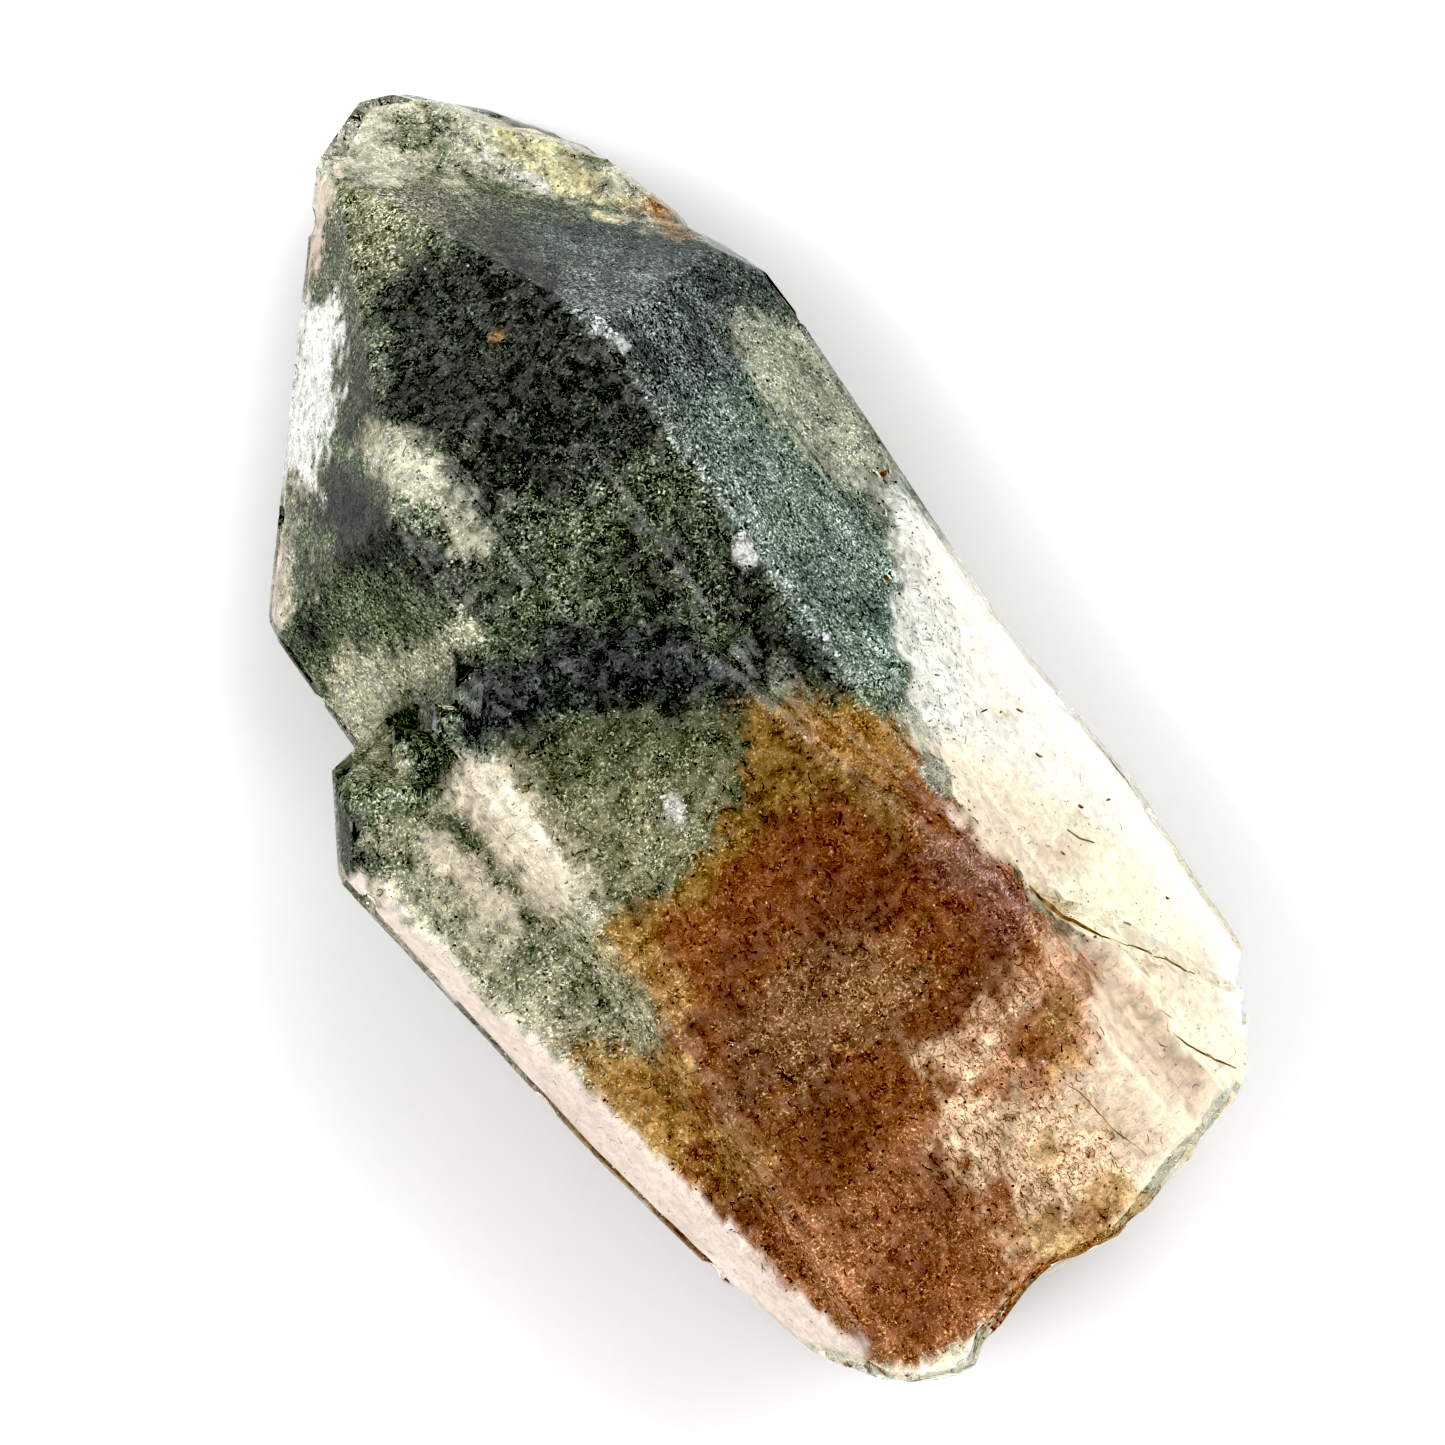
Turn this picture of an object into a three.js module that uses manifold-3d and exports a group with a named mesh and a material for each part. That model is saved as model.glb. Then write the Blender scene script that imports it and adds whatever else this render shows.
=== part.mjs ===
// A chlorite-included quartz specimen: crystals that grew side by side and through each other, broken off
// across the foot. It lies on its back prism face. Millimetres and degrees; +Z is up, +Y runs up the
// crystals to the tip, and +X is to the right of someone who looks down on the front faces.

import * as THREE from "three";
import { mergeVertices } from "three/addons/utils/BufferGeometryUtils.js";
import Module from "manifold-3d";

const wasm = await Module();
wasm.setup();

// Driving dimensions
const TALL = { front: 25.2, left: -15, right: 19.3, edgeLeft: -5.8, edgeRight: 9.8 };
const TIP = { front: 19.2, left: 17.7, right: 19.8 }; // where the tall crystal's tip faces start
const BACK = { top: 6.3, bottom: 0.7, left: -1 }; // the slim crystal behind the tall one's tip
const FRONT = { level: 27, pitch: 2.7, left: -9.5 }; // the short front crystal's face falls towards the foot
const LEFT = { level: 23.6, lean: 9.8, floor: 11 }; // the left crystal leans outwards
const RIGHT = { level: 24.3, edge: 10.8, floor: 1.4 }; // the clear crystal on the right
const LOW = { level: 24, edge: 13.3, floor: 6 }; // a layer over the lower right, which ends in a ledge
const FOOT = -46; // the crystals run down to here before the foot is broken off
const REACH = 60; // half the size of the block that a crystal is cut from

// Quartz has six prism faces a sixth of a turn apart, and the normals of its tip faces stand at this
// angle to the axis.
const SIXTH = 60;
const SLOPE = 51.8;

const radians = THREE.MathUtils.degToRad;

// A face's outward normal. Azimuth 0 looks up and 90 to the right; the tilt is from the crystal's own axis,
// and lean turns the face in the plane that the specimen lies in, towards -X at the tip.
function facing(azimuth, tilt = 90, lean = 0) {
  const round = radians(azimuth);
  const off = radians(tilt);
  const normal = new THREE.Vector3(
    Math.sin(off) * Math.sin(round),
    Math.cos(off),
    Math.sin(off) * Math.cos(round),
  );
  return normal.applyAxisAngle(new THREE.Vector3(0, 0, 1), radians(lean));
}

// The height at which a prism's side corner stands, below the level of its front face.
function cornerUnder(level, edge, side) {
  return level - Math.abs(side - edge) * Math.tan(radians(SIXTH));
}

// A three.js geometry as a solid.
function solid(geometry) {
  const bare = geometry.clone();
  bare.deleteAttribute("normal");
  bare.deleteAttribute("uv");
  const merged = mergeVertices(bare, 1e-4);
  return new wasm.Manifold(
    new wasm.Mesh({
      numProp: 3,
      vertProperties: new Float32Array(merged.attributes.position.array),
      triVerts: new Uint32Array(merged.index.array),
    }),
  );
}

// A solid as a three.js geometry.
function geometryOf(body) {
  const mesh = body.getMesh();
  const geometry = new THREE.BufferGeometry();
  geometry.setAttribute("position", new THREE.BufferAttribute(new Float32Array(mesh.vertProperties), 3));
  geometry.setIndex(new THREE.BufferAttribute(new Uint32Array(mesh.triVerts), 1));
  return geometry;
}

// A block whose near side, which looks against the normal, stands at this point.
function placed(block, normal, point) {
  block.applyQuaternion(new THREE.Quaternion().setFromUnitVectors(new THREE.Vector3(0, 0, 1), normal));
  block.translate(...point);
  return solid(block);
}

// What is cut away outside a face that has this normal and passes through this point.
function outside(normal, point) {
  const block = new THREE.BoxGeometry(4 * REACH, 4 * REACH, 2 * REACH);
  block.translate(0, 0, REACH);
  return placed(block, normal, point);
}

// A crystal from its faces, each a normal and a point that it passes through.
function crystal(faces) {
  const block = new THREE.BoxGeometry(2 * REACH, 2 * REACH, 2 * REACH);
  block.translate(0, FOOT + REACH, 0);
  return faces.reduce((body, [normal, point]) => body.subtract(outside(normal, point)), solid(block));
}

// A number between -1 and 1 for each whole i and j, the same on every run.
function lattice(i, j, seed) {
  const scattered = Math.sin(i * 127.1 + j * 311.7 + seed * 74.7) * 43758.5453;
  return 2 * (scattered - Math.floor(scattered)) - 1;
}

// Smooth noise between -1 and 1.
function noise(u, v, seed) {
  const { lerp, smoothstep } = THREE.MathUtils;
  const i = Math.floor(u);
  const j = Math.floor(v);
  const across = (row) => lerp(lattice(i, row, seed), lattice(i + 1, row, seed), smoothstep(u, i, i + 1));
  return lerp(across(j), across(j + 1), smoothstep(v, j, j + 1));
}

// What is broken away outside a rough face: a block whose near side is uneven.
const COARSE = 2.4; // width of the larger bumps on a broken face

function broken(normal, point, side, depth, cells, seed) {
  const block = new THREE.BoxGeometry(side, side, side, cells, cells, 1);
  block.translate(0, 0, side / 2);
  const at = block.attributes.position;
  for (let i = 0; i < at.count; i += 1) {
    const [x, y] = [at.getX(i), at.getY(i)];
    if (at.getZ(i) < side / 2) {
      at.setZ(i, depth * (noise(x / COARSE, y / COARSE, seed) + 0.5 * noise(x, y, seed + 1)));
    }
  }
  return placed(block, normal, point);
}

// The tall crystal. Its left and right edges are the specimen's outline above the others.
const tallLeft = [TALL.left, TIP.left, cornerUnder(TALL.front, TALL.edgeLeft, TALL.left)];
const tallRight = [TALL.right, TIP.right, cornerUnder(TALL.front, TALL.edgeRight, TALL.right)];

function tallCrystal() {
  return crystal([
    [facing(0), [0, 0, TALL.front]],
    [facing(SIXTH), tallRight],
    [facing(2 * SIXTH), tallRight],
    [facing(2 * SIXTH, 90, -4.6), [TALL.right, 14.6, tallRight[2]]],
    [facing(3 * SIXTH), [0, 0, 0]],
    [facing(-2 * SIXTH), tallLeft],
    [facing(-SIXTH), tallLeft],
    [facing(0, SLOPE), [0, TIP.front, TALL.front]],
    [facing(SIXTH, SLOPE), tallRight],
    [facing(2 * SIXTH, SLOPE), tallRight],
    [facing(3 * SIXTH, SLOPE), [0, 24.6, 0]],
    [facing(-2 * SIXTH, SLOPE), tallLeft],
    [facing(-SIXTH, SLOPE), tallLeft],
    [facing(82, 66), [18.2, 19.7, tallRight[2]]],
    [facing(-70, 74), [-14.8, 17.2, tallLeft[2]]],
  ]);
}

// The rough faces that the slim crystal is broken off at, from its highest point down the right side:
// azimuth, tilt, a point, the width of the rough part, its depth, its cells and its seed.
const BREAKS = [
  [84, 31, [6.7, 38.5, BACK.top], 16, 0.2, 10, 23],
  [80, 54, [12.6, 32, BACK.top], 22, 0.4, 13, 11],
  [86, 76, [16.3, 25.4, BACK.top], 18, 0.4, 11, 17],
];

const BREAK_ROOM = 0.5; // how far outside a rough face its flat blank stands

// A slim crystal behind the tall one's tip. It shows along the tip's right side and makes the highest point.
function backCrystal() {
  const slim = crystal([
    [facing(27.4, 67.3), [16.8, 21.7, tallRight[2]]],
    [facing(3 * SIXTH), [0, 0, BACK.bottom]],
    [facing(-2 * SIXTH), [BACK.left, 0, BACK.top]],
    [facing(-SIXTH), [BACK.left, 0, BACK.top]],
    [facing(3 * SIXTH, SLOPE), [6, 33, BACK.bottom]],
    [facing(-2 * SIXTH, SLOPE), tallLeft],
    [facing(-SIXTH, SLOPE), tallLeft],
    [facing(-90, 21), [6.5, 38.5, BACK.top]],
    [facing(2 * SIXTH), [17.6, 0, BACK.top]],
    [facing(SIXTH), [17.6, 0, BACK.top]],
    ...BREAKS.map(([azimuth, tilt, [x, y, z]]) => [
      facing(azimuth, tilt),
      [x + BREAK_ROOM, y + BREAK_ROOM, z],
    ]),
  ]);
  const rough = BREAKS.map(([azimuth, tilt, ...rest]) => broken(facing(azimuth, tilt), ...rest));
  return rough.reduce((body, away) => body.subtract(away), slim);
}

// The short crystal in front. Its top faces run out on the tall crystal's front.
function frontCrystal() {
  const front = facing(0, 90 + FRONT.pitch);
  return crystal([
    [front, [0, 0, FRONT.level]],
    [facing(-SIXTH), [FRONT.left, 0, FRONT.level]],
    [facing(-2 * SIXTH), [-12.4, 0, 14]],
    [facing(43, 81), [4.6, -1.1, 27.1]],
    [facing(SIXTH), [RIGHT.edge, 0, RIGHT.level]],
    [facing(2 * SIXTH), [17, 0, 12]],
    [facing(3 * SIXTH), [0, 0, 6]],
    [facing(-SIXTH, SLOPE), [-11, 8, 18.6]],
    [facing(-2 * SIXTH, SLOPE), [-13, 6.4, 18]],
    [facing(8, SLOPE), [-6, 9, TALL.front]],
    [facing(27, SLOPE), [0.8, 6.4, TALL.front]],
    [facing(SIXTH, 64.4), [5.6, 1, TALL.front]],
  ]);
}

// The tips of the small crystals that the front crystal's ridge is made of: x, y and half width.
const RIDGE = [
  [-12.2, 8.9, 1.7],
  [-9.6, 8.5, 1.3],
  [-7.4, 9.6, 1.5],
  [-4.9, 8, 1.2],
  [-2.7, 8, 1.6],
  [-0.2, 6.6, 1.3],
  [1.5, 6.9, 1.4],
  [3.6, 4.5, 1.6],
  [5, 2.5, 1.3],
  [6.1, 0.2, 1.2],
];
const RIDGE_ROOT = 7; // how far a small crystal runs down inside the front crystal

// The height of the ridge, which falls away with the front crystal's left face.
function ridgeHeight(x) {
  const side = cornerUnder(FRONT.level, FRONT.left, Math.min(x, FRONT.left));
  return Math.min(TALL.front - 0.2, side - 1.4);
}

// A small six-sided crystal whose tip is at x, y, z, cut off square below.
function smallCrystal(x, y, z, half) {
  const rise = half * Math.cos(radians(SIXTH / 2)) * Math.tan(radians(SLOPE));
  const prism = new THREE.CylinderGeometry(half, half, RIDGE_ROOT, 6);
  prism.translate(0, -rise - RIDGE_ROOT / 2, 0);
  const tip = new THREE.ConeGeometry(half, rise, 6);
  tip.translate(0, -rise / 2, 0);
  const turned = [prism, tip].map((shape) => {
    shape.rotateY(radians(SIXTH / 2));
    shape.translate(x, y, z);
    return solid(shape);
  });
  return turned[0].add(turned[1]);
}

// The slim crystal on the left, with a clear side face along the specimen's lower left edge.
function leftCrystal() {
  return crystal([
    [facing(0), [0, 0, LEFT.level]],
    [facing(-SIXTH, 90, LEFT.lean), [-18.4, 2.9, LEFT.level]],
    [facing(-2 * SIXTH, 90, 3.3), [-19.2, 0, 21.3]],
    [facing(-2 * SIXTH, 90, 10.5), [-17.2, -16.6, 19.4]],
    [facing(SIXTH), [-8, 0, LEFT.level]],
    [facing(3 * SIXTH), [0, 0, LEFT.floor]],
    [facing(0, SLOPE, LEFT.lean), [-16.4, 8, 22]],
    [facing(SIXTH, SLOPE, LEFT.lean), [-15.4, 7.6, 22]],
    [facing(-SIXTH, SLOPE, LEFT.lean), [-18.6, 4.3, 22.6]],
    [facing(-2 * SIXTH, SLOPE, LEFT.lean), [-16.4, 8.4, 20.6]],
  ]);
}

// The clear crystal on the right. Its front tip face slants across the tall crystal's right side.
function rightCrystal() {
  const knob = [19.3, 5, cornerUnder(RIGHT.level, RIGHT.edge, 19.3)];
  return crystal([
    [facing(0), [0, 0, RIGHT.level]],
    [facing(SIXTH), [RIGHT.edge, 0, RIGHT.level]],
    [facing(2 * SIXTH, 90, -6), [18, -6, cornerUnder(RIGHT.level, RIGHT.edge, 18)]],
    [facing(3 * SIXTH), [0, 0, RIGHT.floor]],
    [facing(-SIXTH), [3, 0, RIGHT.level]],
    [facing(0, SLOPE), [15, -0.6, 15.2]],
    [facing(SIXTH, SLOPE), knob],
    [facing(2 * SIXTH, SLOPE), knob],
  ]);
}

// The broad crystal that makes the lower right edge. It comes out of the right crystal little by little.
function flankCrystal() {
  const corner = cornerUnder(RIGHT.level, RIGHT.edge, 19);
  return crystal([
    [facing(0), [0, 0, RIGHT.level - 2]],
    [facing(SIXTH, 90, 2), [RIGHT.edge + 0.4, -22, RIGHT.level]],
    [facing(2 * SIXTH, 90, 5), [18.7, -14, corner]],
    [facing(2 * SIXTH), [19.1, 0, corner]],
    [facing(2 * SIXTH, 90, -8), [18.4, -26.6, corner + 1]],
    [facing(3 * SIXTH), [0, 0, RIGHT.floor + 1.4]],
    [facing(-SIXTH), [3, 0, RIGHT.level]],
    [facing(2 * SIXTH, SLOPE), [18, -5.6, corner + 1.6]],
  ]);
}

// A layer over the lower right, which ends in a slanting ledge.
function lowCrystal() {
  return crystal([
    [facing(0), [0, 0, LOW.level]],
    [facing(SIXTH), [LOW.edge, 0, LOW.level]],
    [facing(2 * SIXTH), [17.8, 0, cornerUnder(LOW.level, LOW.edge, 17.8)]],
    [facing(3 * SIXTH), [0, 0, LOW.floor]],
    [facing(-SIXTH), [0, 0, LOW.level]],
    [facing(2 * SIXTH, SLOPE), [10.8, -19.2, LOW.level]],
  ]);
}

// The broken foot's outline as it is seen from the front, left to right.
const FOOT_LINE = [
  [-24, -19.5], [-15.2, -27], [-13.9, -33.3], [-12.8, -34.7], [-10.6, -37], [-7.3, -38.5],
  [-6.3, -37.4], [-0.9, -36.4], [3.2, -37.2], [5, -36.7], [10.2, -35.5], [14.4, -34.4],
  [15.4, -33], [16.8, -30.4], [17.8, -29.6], [24, -22],
];
// Shell-shaped hollows in the break: centre x and z, radius, depth.
const HOLLOWS = [
  [-5, 9, 10, 3.2],
  [8, 13, 9, 2.6],
  [13, 4, 7, 2.2],
  [-11, 19, 5, 1.2],
];
const RIPPLE = 0.16; // height of the rings in a hollow
const RING = 1.7; // distance from one ring to the next

function footLine(x) {
  const next = FOOT_LINE.findIndex(([at]) => at > x);
  const [x0, y0] = FOOT_LINE[next - 1];
  const [x1, y1] = FOOT_LINE[next];
  return THREE.MathUtils.mapLinear(x, x0, x1, y0, y1);
}

function footAt(x, z) {
  const hollow = HOLLOWS.map(([cx, cz, radius, depth]) => {
    const off = Math.hypot(x - cx, z - cz);
    const share = off / radius;
    return share < 1 ? depth * (1 - share * share) + RIPPLE * Math.sin((off * 2 * Math.PI) / RING) : 0;
  });
  const jag = 0.35 * noise(x / 2.1, z / 2.1, 3) + 0.18 * noise(x / 0.9, z / 0.9, 5);
  return footLine(x) + Math.max(...hollow, 0) + jag;
}

// What is broken away below the foot.
function brokenFoot() {
  const [width, height, columns, rows] = [46, 36, 40, 30];
  const drop = 30;
  const block = new THREE.BoxGeometry(width, drop, height, columns, 1, rows);
  block.translate(0, -drop / 2, height / 2 - 4);
  const at = block.attributes.position;
  for (let i = 0; i < at.count; i += 1) {
    const top = at.getY(i) > -1;
    at.setY(i, top ? footAt(at.getX(i), at.getZ(i)) : FOOT - drop);
  }
  return solid(block);
}

// Low plates that grew on the faces: the face's azimuth, the middle of the plate's upper end, half width,
// height and length.
const PLATES = [
  [0, [2.2, 15.4, TALL.front], 3.2, 0.16, 12],
  [0, [-3, 18.8, TALL.front], 1.7, 0.24, 8.5],
  [SIXTH, [14, 14, 17.9], 2.4, 0.18, 20],
  [-SIXTH, [-10.6, 13.6, 16.9], 2.6, 0.2, 7],
  [-2 * SIXTH, [-12.4, 10, 4.4], 2, 0.2, 30],
  [2 * SIXTH, [17, 11.5, 4.7], 1.8, 0.2, 16],
];

function plate(azimuth, point, half, rise, long) {
  const out = facing(azimuth);
  const top = new THREE.Vector3(...point).addScaledVector(out, rise);
  const edge = (way) => top.clone().addScaledVector(facing(azimuth + 90), way * half);
  const end = top.clone().add(new THREE.Vector3(0, -long, 0));
  return crystal([
    [out, top],
    [facing(azimuth + SIXTH), edge(1)],
    [facing(azimuth - SIXTH), edge(-1)],
    [facing(azimuth + 3 * SIXTH), top.clone().addScaledVector(out, -4 * rise)],
    [facing(azimuth, SLOPE), top],
    [facing(azimuth + SIXTH, SLOPE), edge(0.7)],
    [facing(azimuth - SIXTH, SLOPE), edge(-0.7)],
    [facing(azimuth, 180 - SLOPE), end],
  ]);
}

// A small shell-shaped chip or pit: an ellipsoid taken out of an edge, long in the crystal's direction.
function chip([x, y, z], radius, length) {
  const ball = new THREE.SphereGeometry(radius, 9, 7);
  ball.rotateX(radians(17));
  ball.scale(1, length / radius, 1);
  ball.rotateZ(radians(x * 31));
  ball.translate(x, y, z);
  return solid(ball);
}

// Chips along the edges, and pits where one crystal meets another: centre, radius, half length.
const CHIPS = [
  [[10.1, 19.7, 25.3], 0.9, 1.1],
  [[10.4, 18.1, 25], 0.7, 0.9],
  [[10.1, 5.4, 25.2], 0.8, 1],
  [[9.9, 12.3, 25.4], 0.45, 0.9],
  [[-5.6, 21.2, 23.8], 0.8, 1.2],
  [[-11, 22.6, 9.8], 0.7, 0.9],
  [[-5.6, 28.4, 9.6], 0.6, 1],
  [[0.2, 34.6, 9.4], 0.8, 1],
  [[-15.2, 12.6, 9.4], 0.45, 1],
  [[-19.1, 1.6, 22.4], 0.5, 0.9],
  [[-17.9, -13.2, 19.8], 0.5, 1.3],
  [[-15.7, -25.6, 19.6], 0.55, 1.1],
  [[-13.6, -25.2, 23.8], 0.5, 1.2],
  [[7.4, -8.9, 26.4], 0.5, 1],
  [[19.6, 13.9, 8.6], 0.5, 0.8],
  [[19.1, 9.2, 8.7], 0.4, 0.7],
  [[18.6, -1.4, 11], 0.5, 1.2],
  [[18.9, -12.4, 10.6], 0.6, 1.6],
  [[19.4, -20.2, 10.2], 0.5, 1.2],
  [[14.3, -26, 22.2], 0.5, 1],
  [[15.7, -27.6, 20.6], 0.5, 0.7],
  [[14.5, 20.2, 1.2], 0.8, 1.4],
  [[-10.2, 6, 0.2], 0.7, 1.5],
  [[14.3, -18, 0.1], 0.8, 1.6],
  [[14.8, -0.5, 16.6], 0.55, 0.7],
  [[16.7, 3.2, 13.4], 0.45, 1],
  [[17.9, 4.6, 11.4], 0.4, 0.6],
];

function specimen() {
  const crystals = [
    tallCrystal(),
    backCrystal(),
    frontCrystal(),
    leftCrystal(),
    rightCrystal(),
    flankCrystal(),
    lowCrystal(),
    ...RIDGE.map(([x, y, half]) => smallCrystal(x, y, ridgeHeight(x), half)),
    ...PLATES.map((one) => plate(...one)),
  ];
  const grown = crystals.reduce((whole, one) => whole.add(one));
  const away = [brokenFoot(), ...CHIPS.map((one) => chip(...one))];
  return away.reduce((whole, one) => whole.subtract(one), grown);
}

// The origin stands under the middle of the specimen, on the face that it lies on.
function centred(geometry) {
  geometry.computeBoundingBox();
  const middle = geometry.boundingBox.getCenter(new THREE.Vector3());
  return geometry.translate(-middle.x, -middle.y, -geometry.boundingBox.min.z);
}

const quartz = new THREE.MeshStandardMaterial({ color: 0x56624f, roughness: 0.25, metalness: 0 });
const mesh = new THREE.Mesh(centred(geometryOf(specimen())), quartz);
mesh.name = "quartz_crystal";

const group = new THREE.Group();
group.add(mesh);

export default group;
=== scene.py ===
"""Dresses the chlorite quartz crystal: clear quartz over a moss of green and brown mineral.

The quartz skin replaces the CAD solid and keeps its shape. The mineral mass lies about a millimetre or
less under the skin, in the specimen's colour zones. Fine threads and grains hang in the quartz just above
the mass. All sizes in the classes are millimetres, and the meshes are metres in the CAD model's frame.
"""

import logging
import math
from dataclasses import dataclass
from enum import Enum

import bmesh
import bpy
import numpy as np
from mathutils import Color, Matrix, Vector
from mathutils.bvhtree import BVHTree

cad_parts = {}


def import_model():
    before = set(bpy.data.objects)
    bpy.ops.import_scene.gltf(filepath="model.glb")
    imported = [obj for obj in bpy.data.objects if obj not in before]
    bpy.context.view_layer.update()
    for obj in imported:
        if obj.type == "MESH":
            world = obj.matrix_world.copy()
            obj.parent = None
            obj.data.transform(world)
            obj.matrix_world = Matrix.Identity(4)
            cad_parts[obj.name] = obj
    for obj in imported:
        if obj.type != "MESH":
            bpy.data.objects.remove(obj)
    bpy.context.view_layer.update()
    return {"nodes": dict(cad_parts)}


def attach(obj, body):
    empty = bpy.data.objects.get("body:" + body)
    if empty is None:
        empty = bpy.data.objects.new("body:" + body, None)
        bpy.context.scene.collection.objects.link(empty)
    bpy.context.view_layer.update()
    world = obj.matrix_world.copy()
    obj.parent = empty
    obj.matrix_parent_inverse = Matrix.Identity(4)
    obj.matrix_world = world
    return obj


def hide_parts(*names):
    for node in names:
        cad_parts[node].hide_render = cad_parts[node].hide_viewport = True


LOG = logging.getLogger("crystal")

MM = 0.001
UP = Vector((0, 0, 1))
DOWN = Vector((0, 0, -1))
NODE = "quartz_crystal"
BODY = "root"
QUARTZ_IOR = 1.544
# The view darkens the middle tones a little, as a print does, and shows this much light as black.
VIEW_GAMMA = 0.8
VIEW_BLACK = 0.14
# The zones are drawn from the cluster's axis, which lies this far from the model's origin.
DRAWING_SHIFT = np.array((0.158, -0.110))
# Height above all of the crystal, from which the skin is looked for, mm
ABOVE_ALL = 99
# In metres: points nearer than the first are one, and a cut closer to a point than the second meets it.
ONE_POINT = 2e-6
ON_THE_CUT = 1e-6

# Where a mineral's values stand in its row
GROUND = slice(0, 3)
FLECK = slice(3, 6)
COVER, DEPTH, THREADS, GRAINS, LIE, GRIT = range(6, 12)

# Layers of noise, each with its strength, its width in mm and its seed
Layers = tuple[tuple[float, float, int], ...]


# Colour


def light_for(tint: tuple[int, int, int]) -> np.ndarray:
    """Find the light above black, as linear values, that the view shows as a tint of 0 to 255."""
    return np.array(Color((np.array(tint) / 255) ** VIEW_GAMMA).from_srgb_to_scene_linear())


def mirrored(upright: np.ndarray) -> np.ndarray:
    """Find the share of light that quartz mirrors.

    Args:
        upright: Cosine of the angle between the light and the quartz's normal.

    Returns:
        The share, 0 to 1.
    """
    inside = np.sqrt(1 - (1 - upright**2) / QUARTZ_IOR**2)
    across = (upright - QUARTZ_IOR * inside) / (upright + QUARTZ_IOR * inside)
    along = (QUARTZ_IOR * upright - inside) / (QUARTZ_IOR * upright + inside)
    return (across**2 + along**2) / 2


@dataclass(frozen=True)
class QuartzVeilAndPaintedLight:
    """How the quartz changes what is seen of the mineral under it.

    It sends much of the light back down to the mineral, and mirrors the pale floor where it lies steeply.
    The tints it gives hold painted light and shade: paler where less light falls on a face, darker where the
    skin mirrors the floor.

    Args:
        steepest: Least cosine of the angle at which a face counts as lying.
        around: Light that falls on a wall.
        overhead: Light that a level face gets more, and one towards the foot's end less.
        haze: Light that every face mirrors.
        floor: Light that comes up from the floor.
        least: Share of the wanted light that is always kept.
        passed: Share of a dark mineral's light that the quartz lets out.
        returned: How much this share grows with the light.
        limits: The darkest and the palest that a mineral's linear values get.
    """

    steepest: float = 0.3
    around: float = 1.5
    overhead: float = 0.8
    haze: float = 0.03
    floor: float = 1.4
    least: float = 0.35
    passed: float = 0.38
    returned: float = 0.5
    limits: tuple[float, float] = (0.002, 0.97)

    def under(self, light: np.ndarray, tilt: np.ndarray) -> np.ndarray:
        """Find the mineral's tint that sends up a light through the quartz above it, painted paler where
        less light falls on the face and darker where the skin mirrors the floor.

        Args:
            light: The light to be seen above black, one row of three values for each point.
            tilt: How the quartz lies above each point, as MineralMap.tilt() gives it.

        Returns:
            The mineral's linear tints, with this painted light and shade in them.
        """
        upright = np.clip(tilt[:, 0:1], self.steepest, 1)
        # Painted light: walls and faces towards the foot get less light, so their tints come out paler
        falling = self.around + self.overhead * upright - self.overhead * tilt[:, 2:3]
        # Painted shade: where the skin mirrors the floor, the tint comes out darker by the mirrored light
        gloss = self.haze + self.floor * tilt[:, 1:2] * (mirrored(upright) - mirrored(np.ones(1)))
        wanted = VIEW_BLACK + (1 - VIEW_BLACK) * light
        seen = np.clip(np.maximum(wanted - gloss, self.least * wanted) / falling, 0, 1)
        return np.clip(seen / (self.passed + self.returned * seen), *self.limits)


@dataclass(frozen=True)
class Mineral:
    """How the mineral of one zone looks, and how deep under the quartz skin it lies.

    Args:
        ground: Tint of the mass, 0 to 255, or more where it outshines the view.
        fleck: Tint of the threads and grains.
        cover: Share of the mass that flecks cover.
        depth: Depth of the mass under the skin, mm.
        threads: Threads for each square millimetre.
        grains: Grains for each square millimetre.
        lie: How far threads and streaks keep to the crystal's long axis, 0 to 1.
        grit: How strongly the mass is mottled, 0 to 1.
    """

    ground: tuple[int, int, int]
    fleck: tuple[int, int, int]
    cover: float
    depth: float = 0.5
    threads: float = 4.0
    grains: float = 4.0
    lie: float = 0.0
    grit: float = 1.0

    def row(self) -> np.ndarray:
        """Return the values as one row, with the light to be seen, so that zones can be blended."""
        rest = [self.cover, self.depth, self.threads, self.grains, self.lie, self.grit]
        return np.concatenate([light_for(self.ground), light_for(self.fleck), rest])


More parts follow.
